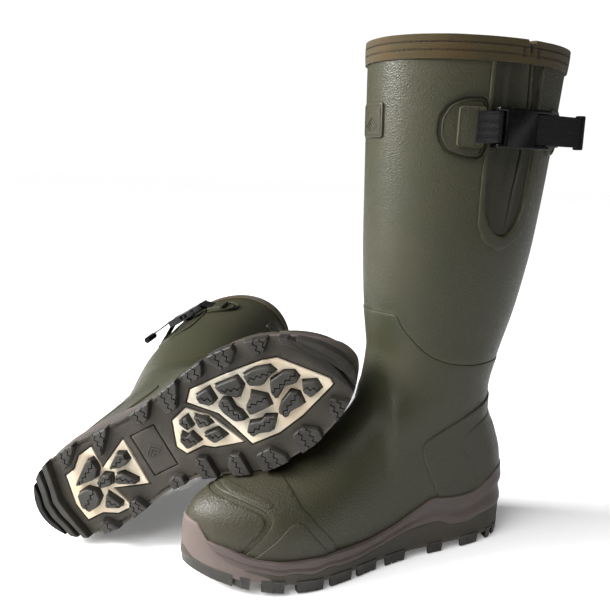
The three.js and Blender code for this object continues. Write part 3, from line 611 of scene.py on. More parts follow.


# the last amount of each finish scales both the lighter rubbed edges with painted highlight and the painted
# shade in hollows
rubberFinishes = {
    "bootRubber": {"base": (0.030, 0.030, 0.017), "warm": (0.033, 0.0305, 0.0175),
                   "cool": (0.027, 0.029, 0.0165),
                   "cells": 760, "softness": 0.3, "bump": 0.62, "roughness": 0.38, "rubAndShade": 0.3},
    # gusset rubber: a darker copy of the boot rubber, partly the panel's own darker rubber and partly
    # painted shade for the recessed panel; its high amount also darkens its fold with painted shade
    "gussetRubberAndShade": {"base": (0.017, 0.017, 0.010), "warm": (0.020, 0.018, 0.010),
                     "cool": (0.015, 0.016, 0.0095),
                     "cells": 820, "softness": 0.3, "bump": 0.5, "roughness": 0.48, "rubAndShade": 0.9},
    "overlayRubber": {"base": (0.028, 0.027, 0.016), "warm": (0.031, 0.0275, 0.0165),
                      "cool": (0.025, 0.026, 0.015),
                      "cells": 700, "softness": 0.3, "bump": 0.62, "roughness": 0.4, "rubAndShade": 0.4},
    "bumperRubber": {"base": (0.086, 0.069, 0.062), "warm": (0.094, 0.072, 0.064),
                     "cool": (0.076, 0.065, 0.057),
                     "cells": 900, "softness": 0.7, "bump": 0.2, "roughness": 0.48, "rubAndShade": 0.5},
    "midsoleRubber": {"base": (0.060, 0.048, 0.044), "warm": (0.068, 0.051, 0.046),
                      "cool": (0.050, 0.044, 0.040),
                      "cells": 900, "softness": 0.6, "bump": 0.2, "roughness": 0.42, "rubAndShade": 0.5},
    "treadRubber": {"base": (0.033, 0.029, 0.023), "warm": (0.037, 0.030, 0.023),
                    "cool": (0.028, 0.026, 0.021),
                    "cells": 1300, "softness": 0.8, "bump": 0.35, "roughness": 0.5, "rubAndShade": 0.9},
    "lugRubber": {"base": (0.016, 0.015, 0.013), "warm": (0.020, 0.017, 0.014),
                  "cool": (0.013, 0.013, 0.012),
                  "cells": 1300, "softness": 0.8, "bump": 0.35, "roughness": 0.42, "rubAndShade": 1.0},
    "padRubber": {"base": (0.54, 0.47, 0.36), "warm": (0.57, 0.43, 0.29),
                  "cool": (0.48, 0.45, 0.38),
                  "cells": 1500, "softness": 0.5, "bump": 0.15, "roughness": 0.6, "rubAndShade": 0.15},
}


# edge lightening is rub wear plus painted highlight; hollow darkening is painted shade
rubberLook = {"driftSize": 11.0, "edgeAndHollowWidth": 0.07, "rubAndHighlight": 2.2, "hollowShadeDark": 0.3, "dull": 0.06,
              "glint": 0.28, "bumpDepth": 0.0006, "shine": 0.22}


def makeRubber(name, values):
    tree, shader = startMaterial(name)
    drift = placed(tree, "drift", {"Base": (*values["base"], 1), "Warm": (*values["warm"], 1),
                                   "Cool": (*values["cool"], 1), "Size": rubberLook["driftSize"]})
    grain = placed(tree, "grain", {"Cells": values["cells"], "Softness": values["softness"]})
    rubAndShade = placed(tree, "rubAndShade", {"Amount": values["rubAndShade"], "Width": rubberLook["edgeAndHollowWidth"]})
    # edge colour: rubbed rubber partly, painted highlight partly
    light = shade(values["base"], rubberLook["rubAndHighlight"])
    # painted shade colour mixed into hollows and creases
    hollowShadeTone = shade(values["base"], rubberLook["hollowShadeDark"])
    lit = mixed(tree, rubAndShade.outputs["Edge"], drift.outputs["Color"], light)
    dark = mixed(tree, rubAndShade.outputs["HollowShade"], lit, hollowShadeTone)
    tree.links.new(dark, shader.inputs["Base Color"])
    rough = calc(tree, "SUBTRACT", values["roughness"] + rubberLook["dull"],
                 calc(tree, "MULTIPLY", grain.outputs["Glints"], rubberLook["glint"]))
    tree.links.new(rough, shader.inputs["Roughness"])
    bump = node(tree, "Bump", {"Height": grain.outputs["Height"], "Strength": values["bump"],
                               "Distance": rubberLook["bumpDepth"]})
    tree.links.new(bump.outputs[0], shader.inputs["Normal"])
    shader.inputs["Specular IOR Level"].default_value = rubberLook["shine"]


for name, values in rubberFinishes.items():
    makeRubber(name, values)

fabricFinishes = {
    "bindingTape": {"base": (0.040, 0.028, 0.009), "warm": (0.052, 0.030, 0.008),
                    "cool": (0.026, 0.023, 0.009),
                    "threads": 1500, "bump": 0.5, "roughness": 0.85, "sheen": 0.3},
    "stitchThread": {"base": (0.016, 0.010, 0.006), "warm": (0.022, 0.013, 0.007),
                     "cool": (0.010, 0.007, 0.005),
                     "threads": 2600, "bump": 0.5, "roughness": 0.7, "sheen": 0.1},
    "lining": {"base": (0.050, 0.052, 0.046), "warm": (0.062, 0.058, 0.048),
               "cool": (0.040, 0.044, 0.040),
               "threads": 900, "bump": 0.8, "roughness": 0.95, "sheen": 0.4},
    "footbedFelt": {"base": (0.070, 0.070, 0.066), "warm": (0.085, 0.080, 0.070),
                    "cool": (0.055, 0.058, 0.056),
                    "threads": 700, "bump": 0.7, "roughness": 0.95, "sheen": 0.3},
}


fabricLook = {"driftSize": 24.0, "threadDark": 0.45, "weave": 0.4, "bumpDepth": 0.0004, "shine": 0.2,
              "sheenShare": 0.3}


def makeFabric(name, values):
    tree, shader = startMaterial(name)
    drift = placed(tree, "drift", {"Base": (*values["base"], 1), "Warm": (*values["warm"], 1),
                                   "Cool": (*values["cool"], 1), "Size": fabricLook["driftSize"]})
    at = node(tree, "TexCoord").outputs["Object"]
    split = node(tree, "SeparateXYZ", {0: at})
    scale = values["threads"] * 2.0
    across = calc(tree, "ADD", split.outputs[0], split.outputs[1])
    warp = calc(tree, "SINE", calc(tree, "MULTIPLY", across, scale))
    weft = calc(tree, "SINE", calc(tree, "MULTIPLY", split.outputs[2], scale))
    fuzz = node(tree, "TexNoise", {"Vector": at, "Scale": float(values["threads"]), "Detail": 3.0})
    weave = calc(tree, "MULTIPLY", warp, weft)
    height = calc(tree, "ADD", calc(tree, "MULTIPLY", weave, fabricLook["weave"]), fuzz.outputs[0])
    shadeMask = node(tree, "MapRange", {"Value": weave, "From Min": -1.0, "From Max": 1.0,
                                        "To Min": fabricLook["threadDark"], "To Max": 0.0})
    dark = shade(values["base"], fabricLook["threadDark"])
    tinted = mixed(tree, shadeMask.outputs[0], drift.outputs["Color"], dark)
    tree.links.new(tinted, shader.inputs["Base Color"])
    bump = node(tree, "Bump", {"Height": height, "Strength": values["bump"],
                               "Distance": fabricLook["bumpDepth"]})
    tree.links.new(bump.outputs[0], shader.inputs["Normal"])
    shader.inputs["Roughness"].default_value = values["roughness"]
    shader.inputs["Specular IOR Level"].default_value = fabricLook["shine"]
    shader.inputs["Sheen Weight"].default_value = values["sheen"] * fabricLook["sheenShare"]


for name, values in fabricFinishes.items():
    makeFabric(name, values)

strapFinish = {"base": (0.002, 0.002, 0.0022), "light": (0.008, 0.008, 0.0087), "pitch": 1.3, "bump": 0.9,
               "bumpDepth": 0.0004, "roughness": 0.6, "shine": 0.12}


def makeWebbing():
    tree, shader = startMaterial("webbing")
    weave = placed(tree, "weave", {"Pitch": strapFinish["pitch"]})
    tint = mixed(tree, weave.outputs["Shade"], (*strapFinish["base"], 1), (*strapFinish["light"], 1))
    tree.links.new(tint, shader.inputs["Base Color"])
    bump = node(tree, "Bump", {"Height": weave.outputs["Height"], "Strength": strapFinish["bump"],
                               "Distance": strapFinish["bumpDepth"]})
    tree.links.new(bump.outputs[0], shader.inputs["Normal"])
    shader.inputs["Roughness"].default_value = strapFinish["roughness"]
    shader.inputs["Specular IOR Level"].default_value = strapFinish["shine"]


plasticFinish = {"base": (0.002, 0.002, 0.0022), "scuff": (0.006, 0.006, 0.0065), "roughness": 0.18,
                 "hazeRoughness": 0.3, "haze": 240.0, "scuffs": 420.0, "bump": 0.04, "bumpDepth": 0.0003,
                 "shine": 0.25}


def makePlastic():
    tree, shader = startMaterial("bucklePlastic")
    at = node(tree, "TexCoord").outputs["Object"]
    haze = node(tree, "TexNoise", {"Vector": at, "Scale": plasticFinish["haze"], "Detail": 5.0})
    scuffs = node(tree, "TexNoise", {"Vector": at, "Scale": plasticFinish["scuffs"], "Detail": 6.0,
                                     "Distortion": 1.5})
    marks = node(tree, "MapRange", {"Value": scuffs.outputs[0], "From Min": 0.62, "From Max": 0.75})
    tint = mixed(tree, marks.outputs[0], (*plasticFinish["base"], 1), (*plasticFinish["scuff"], 1))
    tree.links.new(tint, shader.inputs["Base Color"])
    rough = node(tree, "MapRange", {"Value": haze.outputs[0], "From Min": 0.3, "From Max": 0.75,
                                    "To Min": plasticFinish["roughness"],
                                    "To Max": plasticFinish["hazeRoughness"]})
    tree.links.new(rough.outputs[0], shader.inputs["Roughness"])
    bump = node(tree, "Bump", {"Height": haze.outputs[0], "Strength": plasticFinish["bump"],
                               "Distance": plasticFinish["bumpDepth"]})
    tree.links.new(bump.outputs[0], shader.inputs["Normal"])
    shader.inputs["Specular IOR Level"].default_value = plasticFinish["shine"]


steelFinish = {"base": (0.55, 0.56, 0.58), "scratches": 900.0, "dark": 0.6, "roughness": (0.25, 0.5)}


def makeSteel():
    tree, shader = startMaterial("shankSteel")
    at = node(tree, "TexCoord").outputs["Object"]
    stretch = node(tree, "Mapping", {"Vector": at, "Scale": (0.04, 1.0, 1.0)})
    lines = node(tree, "TexNoise", {"Vector": stretch.outputs[0], "Scale": steelFinish["scratches"],
                                    "Detail": 4.0})
    dark = shade(steelFinish["base"], steelFinish["dark"])
    tint = mixed(tree, lines.outputs[0], (*steelFinish["base"], 1), dark)
    tree.links.new(tint, shader.inputs["Base Color"])
    rough = node(tree, "MapRange", {"Value": lines.outputs[0], "To Min": steelFinish["roughness"][0],
                                    "To Max": steelFinish["roughness"][1]})
    tree.links.new(rough.outputs[0], shader.inputs["Roughness"])
    shader.inputs["Metallic"].default_value = 1.0


makeWebbing()
makePlastic()
makeSteel()
print("finishes made")


# upper: the foot shell, the shaft shell and what lies inside them

shells = {"columns": 176, "rows": 3.4, "wall": 3.0, "footProud": 0.7, "gap": 0.3,
          "lining": 4.5, "footFloor": 24.0, "footbed": 6.0}
ringAngles = np.linspace(0, 2 * math.pi, shells["columns"], endpoint=False)
ankleLine = curveThrough([(-60, 181), (65, 181), (95, 184), (111, 189), (122, 196), (139, 217), (144, 227),
                          (380, 235)])
sideLine = curveThrough([(-60, 74), (20, 70), (36, 62), (52, 54), (72, 52), (96, 54), (112, 48), (141, 35),
                         (178, 28), (248, 28), (276, 31), (300, 40), (380, 60)])
gusset = {"middle": 65.0, "width": 48.0, "depth": 158.0, "surround": 9.0, "notchWidth": 9.0,
          "notchDepth": 11.0, "foldX": 57.0, "pit": 2.3}
roof = height + 40


def levelOn(angle, line, lift=0.0):
    level = np.full(angle.shape, 100.0)
    for _ in range(60):
        x = formPoint(angle, level)[:, 0]
        level = 0.5 * level + 0.5 * (line(x) + lift - spring(x))
    return level


edgeTurns = [math.radians(turn) for turn in (30, 60, 90)]


def ringBand(angle, low, high, outer, inner, roundness=0.8, step=None, innerRows=12):
    rows = max(3, int(np.max(high - low) / (step or shells["rows"])))

    def outerAt(level):
        return outer(angle, level) if callable(outer) else np.full(len(angle), float(outer))
    points = []
    for share in np.linspace(0, 1, rows):
        level = low + share * (high - roundness - low)
        points.append(grown(angle, level, outerAt(level)))
    edge = outerAt(high)
    for turn in edgeTurns:
        points.append(grown(angle, high - roundness + roundness * math.sin(turn),
                            edge - roundness + roundness * math.cos(turn)))
    for share in np.linspace(0, 1, innerRows):
        points.append(grown(angle, high + share * (low - high), np.full(len(angle), inner)))
    return gridShape(np.stack(points), wrapRows=True, wrapColumns=True)


def gussetOutline(grow):
    front = gusset["middle"] + gusset["width"] / 2 + grow
    back = gusset["middle"] - gusset["width"] / 2 - grow
    bottom = height - gusset["depth"] - grow
    middle = gusset["middle"]
    return np.array([(front, roof), (front, bottom + 26), (front - 6, bottom + 11),
                     (middle + 8, bottom + 1), (middle - 3, bottom), (middle - 14, bottom + 10),
                     (back + 3, bottom + 30), (back, bottom + 62), (back - 2, roof)])


def surroundOutline():
    front = gusset["middle"] + gusset["width"] / 2 + 4
    back = gusset["middle"] - gusset["width"] / 2 - gusset["surround"] - 8
    bottom = height - gusset["depth"] - gusset["surround"]
    middle = gusset["middle"]
    return np.array([(front, roof), (front, bottom + 20), (front - 7, bottom + 4),
                     (middle + 3, bottom - 4), (middle - 24, bottom + 12), (back + 12, bottom + 30),
                     (back + 3, bottom + 74), (back, roof)])


slit = rounded(gussetOutline(0), 2)


def shaftOuter(angle, level):
    point = formPoint(angle, level)
    held = inside(slit, point[:, [0, 2]]) & (np.sin(angle) > 0)
    return np.where(held, -gusset["pit"], 0.0)


def buildShells():
    wall, gap = shells["wall"], shells["gap"]
    edge = levelOn(ringAngles, ankleLine)
    low = np.full(len(ringAngles), shells["footFloor"])
    addPiece("foot_skin", ringBand(ringAngles, low, edge, shells["footProud"], -wall),
             "bootRubber", ["foot_shell"])
    rim = np.full(len(ringAngles), height - 0.5)
    addPiece("shaft_skin", ringBand(ringAngles, edge + gap, rim, shaftOuter, -wall, 0.4),
             "bootRubber", ["shaft_shell"])
    outer = -wall - gap
    inner = outer - shells["lining"]
    coarse = ringAngles[::2]
    edge = edge[::2]
    low = np.full(len(coarse), shells["footFloor"] + gap)
    addPiece("foot_liner", ringBand(coarse, low, edge, outer, inner, 0.8, 5),
             "lining", ["foot_lining"])
    top = np.full(len(coarse), height - 0.4)
    addPiece("shaft_liner", ringBand(coarse, edge + gap, top, outer, inner, 0.8, 5),
             "lining", ["shaft_lining"])


def footbedPlace(u, v, lift):
    lift = np.asarray(lift, float)
    base = shells["footFloor"] + 2 * shells["gap"] + shells["lining"]
    cup = 2.0 * smooth(0.6, 1.0, np.abs((v - middleY(u)) / np.maximum(6, outerY(u) - middleY(u))))
    return np.stack([u, v, base + lift + spring(u) + np.where(lift > 0, cup, 0)], -1)


def buildFootbed():
    inset = -shells["wall"] - 2 * shells["gap"] - shells["lining"]
    level = shells["footFloor"] + shells["lining"] + shells["gap"]
    coarse = ringAngles[::2]
    loop = grown(coarse, np.full(len(coarse), level), np.full(len(coarse), inset - 0.8))[:, :2]
    addPiece("footbed_felt", patch(loop[::-1], footbedPlace, shells["footbed"], 7, 1.2, sink=0),
             "footbedFelt", ["footbed"])


buildShells()
buildFootbed()
print("shells, linings and footbeds made")


# overlays on the foot

bumperTop = curveThrough([(262, 14), (268, 19), (280, 23), (292, 27), (302, 32), (309, 40), (314, 49),
                          (318, 55), (330, 58)])
overlays = {"cap": 1.5, "vamp": 1.4, "counter": 1.4, "spacing": 3.0}
footTop = shells["footProud"]


def lowEdge(x):
    return np.maximum(sideLine(x), np.where(x > 262, bumperTop(x), 0)) - 1.5


def bothSides(run, toChart):
    outer = toChart(run[:, 0], run[:, 1], 1)
    inner = toChart(run[:, 0], run[:, 1], -1)
    keep = np.abs(outer[:, 0]) > 0.4
    return np.vstack([outer[keep], inner[keep][::-1]])


def lowRun(border, start, end, count):
    x = np.linspace(start, end, count)
    return np.column_stack([x, border(x)])


def lifted(chart, by):
    return lambda u, v, lift: chart(u, v, np.asarray(lift) + by)


def buildToeCap():
    edge = rounded([(304, 75), (298, 75), (281, 71), (269, 66.5), (266, 61), (272, 53), (281, 43),
                    (288, 33)], 2, closed=False)
    outline = bothSides(np.vstack([pathPoints(edge, 2.5), lowRun(lowEdge, 289, 317.5, 24)]), toChartAtToe)
    shape = patch(outline, lifted(toeChart, footTop), overlays["cap"], overlays["spacing"], 0.9, sink=0.6)
    addPiece("toe_cap_skin", shape, "overlayRubber", ["toe_cap"])


def sidePatch(points, by, lift, roundness, toChart=toChartAtToe, chart=toeChart, sink=0.5):
    shapes = []
    run = pathPoints(rounded(points, 2, cut=0.2), 1.6, closed=True)
    for side in (1, -1):
        outline = toChart(run[:, 0], run[:, 1], side)
        shapes.append(patch(outline, lifted(chart, by), lift, overlays["spacing"], roundness, sink=sink))
    return shapes


def buildVamp():
    front = rounded([(300, 76), (292, 77), (277, 73), (264, 67.5), (260, 61), (267, 52), (276, 42),
                     (284, 31)], 2, closed=False)
    rear = [(205, 26), (208, 38), (236, 71), (240, 84), (243, 96), (244, 104)]
    run = np.vstack([pathPoints(front, 2.5), lowRun(lowEdge, 283, 206, 30), pathPoints(rear, 2.5)])
    shapes = [patch(bothSides(run, toChartAtToe), lifted(toeChart, footTop), overlays["vamp"],
                    overlays["spacing"], 0.9, sink=0.6)]
    level = footTop + overlays["vamp"]
    shapes += sidePatch([(279, 28), (262, 44), (246, 59), (240, 60), (236, 58), (226, 45), (214, 31),
                         (214, 25), (279, 25)], level, 0.9, 0.7)
    shapes += sidePatch([(290, 78.5), (276, 74.5), (262, 69), (257, 72), (262, 76), (281, 82)],
                        level, 0.5, 0.4)
    addPiece("vamp_skin", together(*shapes), "overlayRubber", ["vamp_overlay"])


def buildCounter():
    edge = rounded([(24, 147), (50, 139), (74, 130), (104, 116), (114, 110), (115, 99), (105, 78),
                    (92, 53)], 2, closed=False)
    run = np.vstack([pathPoints(edge, 2.5), lowRun(lambda x: sideLine(x) - 2, 91, 4, 30)])
    shapes = [patch(bothSides(run, toChartAtHeel), lifted(heelChart, footTop), overlays["counter"],
                    overlays["spacing"], 0.9, sink=0.6)]
    level = footTop + overlays["counter"]
    edge = rounded([(22, 128), (48, 124), (70, 113), (72, 103), (63, 88), (54, 73), (50, 66)],
                   2, closed=False)
    run = np.vstack([pathPoints(edge, 2.5), lowRun(lambda x: sideLine(x) - 1, 49, 4, 16)])
    shapes.append(patch(bothSides(run, toChartAtHeel), lifted(heelChart, level), 0.5,
                        overlays["spacing"], 0.5, sink=0.4))
    addPiece("heel_counter_skin", together(*shapes), "overlayRubber", ["heel_counter"])


buildToeCap()
buildVamp()
buildCounter()
print("foot overlays made")


# sole: midsole wall, toe bumper, tread and pads

sole = {"lugDepth": 8.0, "base": 5.0, "padProud": 0.6, "inset": 1.5, "wall": 2.5, "bumperProud": 0.6,
        "moat": 0.8, "chamfer": 0.8, "flare": 0.7, "sipeStep": 2.8, "sipeSwing": 1.3, "sipeHalf": 0.62,
        "sipeDepth": 2.6}
wrapTop = curveThrough([(-20, 29), (10, 30), (28, 31), (45, 29), (62, 25), (78, 25), (93, 31), (112, 30),
                        (132, 27), (160, 20), (180, 17), (198, 16), (213, 18.5), (230, 15), (245, 17.5),
                        (258, 15), (268, 16.5), (322, 17.5)])


def solePoint(angle, inset):
    angle = np.asarray(angle, float)

    def edge(turn):
        x = length * (1 - np.cos(turn)) / 2
        return np.stack([x, np.where(np.sin(turn) >= 0, outerY(x), innerY(x))], -1)
    along = edge(angle + 0.02) - edge(angle - 0.02)
    along /= np.linalg.norm(along, axis=-1, keepdims=True) + 1e-9
    outward = np.stack([-along[..., 1], along[..., 0]], -1)
    return edge(angle) - outward * np.asarray(inset)[..., None], outward


def soleLoop(inset, count=132):
    turn = np.linspace(0, 2 * math.pi, count, endpoint=False)
    return solePoint(turn, np.full(count, float(inset)))[0][::-1]


def wallPoint(angle, z, out):
    edge, outward = solePoint(angle, np.full(len(angle), sole["inset"]))
    level = z - spring(edge[:, 0])
    cup = grown(angle, level, np.full(len(angle), footTop + shells["gap"] + sole["wall"]))
    beyond = ((cup[:, :2] - edge) * outward).sum(1)
    rise = np.log1p(np.exp(np.clip(beyond / 0.8, -30, 30))) * 0.8
    place = edge + outward * (rise + out)[:, None]
    return np.column_stack([place, z])


def wallEdge(top, low, radius, out, depth):
    count = len(ringAngles)
    points = [wallPoint(ringAngles, top - radius + radius * math.sin(turn),
                        np.full(count, out + radius * math.cos(turn))) for turn in edgeTurns]
    return points + [wallPoint(ringAngles, z, np.full(count, depth)) for z in (top, low)]


midsoleRelief = {"edge": 0.9, "groove": 0.8, "grooveAt": 0.42, "ledge": 0.5, "heelLedge": 1.2,
                 "ledgeAt": 0.12, "heelRidge": 0.9, "ridgeAt": 0.66, "depth": 5.0}


def buildMidsole():
    edge, _ = solePoint(ringAngles, np.zeros(len(ringAngles)))
    x = edge[:, 0]
    low = sole["lugDepth"] + sole["base"] + shells["gap"] + spring(x)
    top = sideLine(x)
    heelShare = smooth(110, 40, x)
    given = midsoleRelief
    edgeRadius = given["edge"]
    points = []
    for share in np.linspace(0, 1, 30):
        z = low + share * (top - edgeRadius - low)
        part = (z - wrapTop(x) - spring(x)) / np.maximum(4, top - wrapTop(x) - spring(x))
        groove = -given["groove"] * np.exp(-((part - given["grooveAt"]) / 0.10) ** 2)
        ledge = given["ledge"] + given["heelLedge"] * heelShare
        ledge = ledge * np.exp(-((part - given["ledgeAt"]) / 0.16) ** 2)
        ledge += given["heelRidge"] * heelShare * np.exp(-((part - given["ridgeAt"]) / 0.12) ** 2)
        points.append(wallPoint(ringAngles, z, np.where(part > -0.3, groove + ledge, 0)))
    points += wallEdge(top, low, edgeRadius, -edgeRadius, -given["depth"])
    addPiece("midsole_wall", gridShape(np.stack(points), wrapRows=True, wrapColumns=True),
             "midsoleRubber", ["midsole"])


wrapShape = {"edge": 0.8, "low": 1.5, "high": 0.9, "depth": 3.0}


def wrapBand():
    edge, _ = solePoint(ringAngles, np.zeros(len(ringAngles)))
    x = edge[:, 0]
    top = wrapTop(x) + spring(x)
    low = sole["lugDepth"] + spring(x)
    points = []
    for share in np.linspace(0, 1, 8):
        z = low + share * (top - wrapShape["edge"] - low)
        out = wrapShape["low"] + (wrapShape["high"] - wrapShape["low"]) * share
        points.append(wallPoint(ringAngles, z, np.full(len(x), out)))
    radius = wrapShape["edge"]
    points += wallEdge(top, low, radius, wrapShape["high"] - radius, -wrapShape["depth"])
    return gridShape(np.stack(points), wrapRows=True, wrapColumns=True)


bumper = {"start": 264.0, "lean": 1.8, "lip": 1.2, "depth": 9.0}


def buildBumper():
    reach = math.acos(1 - 2 * bumper["start"] / length)
    turn = np.linspace(reach, 2 * math.pi - reach, 150)
    edge, outward = solePoint(turn, np.full(len(turn), -sole["bumperProud"]))
    x = edge[:, 0]
    low = sole["lugDepth"] + spring(x)
    top = bumperTop(x)
    level = top - spring(x)
    seat = grown(turn, level, np.full(len(turn), footTop + overlays["cap"] * 0.6))[:, :2]
    points = []
    for share in np.linspace(0, 1, 14):
        z = low + share * (top - bumper["lip"] - low)
        lean = bumper["lean"] * share ** 3
        points.append(np.column_stack([edge - outward * lean, z]))
    for share, drop in ((0.12, 0.5), (0.35, 0.12), (1.0, 0.0)):
        place = (edge - outward * bumper["lean"]) * (1 - share) + seat * share
        points.append(np.column_stack([place, top - drop]))
    for z in (top - 1, low):
        points.append(np.column_stack([edge - outward * bumper["depth"], z]))
    addPiece("toe_bumper_wrap", gridShape(np.stack(points), wrapRows=True, caps=True),
             "bumperRubber", ["toe_bumper"])


padOutlines = {
    "forefoot_grip_pad": [(174, 29), (183, 38), (204, 37), (226, 35), (251, 31), (262, 27), (291, -11),
                          (291, -17), (256, -28), (232, -32), (206, -30), (200, -10), (194, 7)],
    "waist_grip_pad": [(154, 21), (171, 26), (188, 7), (201, -25), (175, -18), (167, -12), (150, -12),
                       (145, -2)],
    "heel_grip_pad": [(38, 21), (49, 23), (60, 32), (76, 34), (74, 12), (106, 27), (105, -21), (73, -10),
                      (79, -33), (63, -33), (50, -26), (33, -26), (31, -7)],
}
padLugs = {
    "forefoot_grip_pad": [
        [(187, 31), (200, 32), (200, 20), (194, 18), (187, 24)],
        [(206, 31), (226, 29), (227, 20), (219, 13), (213, 18), (207, 24)],
        [(232, 28), (242, 28), (254, 24), (256, 18), (249, 17), (241, 13), (232, 18)],
        [(249, 13), (262, 14), (269, 10), (270, 4), (265, 1), (256, 4), (246, -3), (245, 4)],
        [(271, -1), (281, -6), (281, -14), (271, -16), (268, -9)],
        [(200, 15), (206, 18), (211, 15), (211, 6), (214, 1), (215, -7), (206, -4), (201, 7)],
        [(230, 12), (240, 3), (239, -6), (220, -5), (220, 2), (227, 7)],
        [(259, -3), (264, -8), (263, -18), (249, -18), (245, -21), (242, -14), (248, -8)],
        [(216, -11), (226, -14), (230, -12), (238, -16), (229, -26), (219, -22), (213, -23), (210, -17)]],
    "waist_grip_pad": [
        [(161, 17), (170, 19), (170, 9), (165, 8)], [(176, 17), (185, 9), (186, 3), (175, 5)],
        [(158, 8), (161, 3), (166, 4), (169, -6), (156, -7), (154, 2)],
        [(175, -2), (188, -3), (192, -12), (180, -13)]],
    "heel_grip_pad": [
        [(46, 10), (66, 24), (72, 24), (73, 15), (66, 7), (47, 8)],
        [(65, 3), (74, 7), (80, 3), (76, -5), (65, -3)],
        [(82, 9), (96, 18), (102, 15), (102, 8), (94, 5)],
        [(84, 1), (91, 0), (99, -11), (97, -14), (81, -6)],
        [(42, 1), (53, 2), (60, -4), (59, -11), (51, -17), (43, -18), (39, -11)],
        [(59, -21), (67, -10), (74, -24), (71, -27)]],
}
edgeLugs = [
    [(44, 70), (63, 70), (64, 41), (50, 29), (44, 27)],
    [(84, 70), (99, 70), (100, 41), (93, 33), (81, 22), (80, 28), (85, 38)],
    [(126, 70), (146, 70), (147, 44), (137, 31), (126, 33)],
    [(159, 70), (178, 70), (178, 48), (166, 29), (156, 28), (156, 37)],
    [(184, 70), (205, 70), (206, 52), (200, 43), (190, 43), (186, 46)],
    [(213, 70), (236, 70), (236, 49), (226, 40), (217, 41), (214, 48)],
    [(246, 70), (268, 70), (264, 44), (255, 36), (247, 37)],
    [(278, -70), (306, -70), (299, -38), (284, -24), (279, -34)],
    [(241, -70), (262, -70), (263, -43), (252, -35), (242, -37)],
    [(205, -70), (228, -70), (228, -50), (219, -38), (207, -38), (204, -46)],
    [(176, -70), (193, -70), (194, -32), (186, -28), (180, -36)],
    [(151, -70), (166, -70), (167, -22), (158, -17), (154, -24)],
    [(124, -70), (138, -70), (138, -27), (132, -23), (125, -25)],
    [(79, -70), (94, -70), (94, -38), (89, -27), (82, -26), (77, -34)],
    [(43, -70), (60, -70), (60, -44), (51, -31), (44, -32)],
]
endBars = [
    [(16, 60), (9, 16), (5, 5), (5, -7), (9, -18), (16, -60), (-20, -60), (-20, 60)],
    [(27, 60), (18, 18), (14, 5), (14, -8), (17, -20), (23, -60), (19, -60), (11, -18), (8, -7), (8, 6),
     (12, 18), (21, 60)],
    [(38, 60), (26, 14), (23, 4), (24, -10), (26, -24), (32, -60), (28, -60), (21, -22), (18, -9), (17, 5),
     (21, 16), (32, 60)],
    [(288, 60), (284, 30), (293, 18), (301, 4), (305, -14), (316, -40), (330, -20), (330, 60)],
    [(276, 60), (272, 36), (281, 26), (291, 10), (297, -8), (301, -26), (306, -40), (303, -24), (301, -8),
     (295, 12), (285, 29), (279, 37), (281, 60)],
]
labelFrame = [(113, 25), (137, 25), (137, -16), (113, -16)]
drawnLength = 312.0


def drawn(points):
    return np.asarray(points, float) * (length / drawnLength, 1.0)


def overlapLoop(loop, other):
    points = np.vstack([loop, other])
    count, more = len(loop), len(other)
    edges = [(i, (i + 1) % count) for i in range(count)]
    edges += [(count + i, count + (i + 1) % more) for i in range(more)]
    found, _, faces, _, _, _ = delaunay_2d_cdt([Vector(p) for p in points], edges, [], 0, 1e-6)
    found = np.array([tuple(p) for p in found])
    faces = np.array([list(f) for f in faces])
    centres = found[faces].mean(1)
    faces = faces[inside(loop, centres) & inside(other, centres)]
    borders = {}
    for a, b, c in faces:
        for edge in ((a, b), (b, c), (c, a)):
            borders[edge] = True
    follow = {a: b for a, b in borders if (b, a) not in borders}
    best = []
    while follow:
        start, now = next(iter(follow.items()))
        run = [start]
        del follow[start]
        while now != start and now in follow:
            run.append(now)
            now = follow.pop(now)
        if len(run) > len(best):
            best = run
    return found[best]


def lugPrism(loop, top=0.0):
    loop = pathPoints(rounded(loop, 1, cut=0.12), 5.0, closed=True)
    return prism(loop, [(sole["chamfer"], top), (0, top + sole["chamfer"] * 0.8),
                        (-sole["flare"], sole["lugDepth"] + 0.4), (-sole["flare"], sole["lugDepth"] + 3)])


def sipe(loop, offset, along=None):
    centre = loop.mean(0)
    spread = loop - centre
    if along is None:
        along = np.linalg.svd(spread, full_matrices=False)[2][0]
    across = np.array([-along[1], along[0]])
    reach = np.abs(spread @ along).max() + 3
    steps = np.arange(-reach, reach, sole["sipeStep"])
    swing = offset + sole["sipeSwing"] * np.where(np.arange(len(steps)) % 2, 1, -1)
    path = centre + along * steps[:, None] + across * swing[:, None]
    half = across * sole["sipeHalf"]
    return prism(np.vstack([path + half, (path - half)[::-1]]), [(0, -1.5), (0, sole["sipeDepth"])])


def sprung(shape):
    points, faces = shape
    points = points.copy()
    points[:, 2] += spring(points[:, 0])
    return points, faces


def solePlace(u, v, lift):
    return np.stack([u, v, sole["lugDepth"] - np.asarray(lift) + spring(u)], -1)


def emblem(centre, size, place, lift):
    shapes = []
    for k in range(3):  # three nested chevrons, a plain mark
        reach = size * (1 - 0.28 * k)
        drop = size * 0.36 * k
        points = np.array([(-reach, -reach * 0.55), (0, reach * 0.35), (reach, -reach * 0.55),
                           (reach, -reach * 0.55 - size * 0.2), (0, reach * 0.35 - size * 0.2),
                           (-reach, -reach * 0.55 - size * 0.2)])
        points = points + (0, size * 0.5 - drop)
        shapes.append(patch(points + centre, place, lift, 2.5, 0.2, sink=0.2))
    return shapes


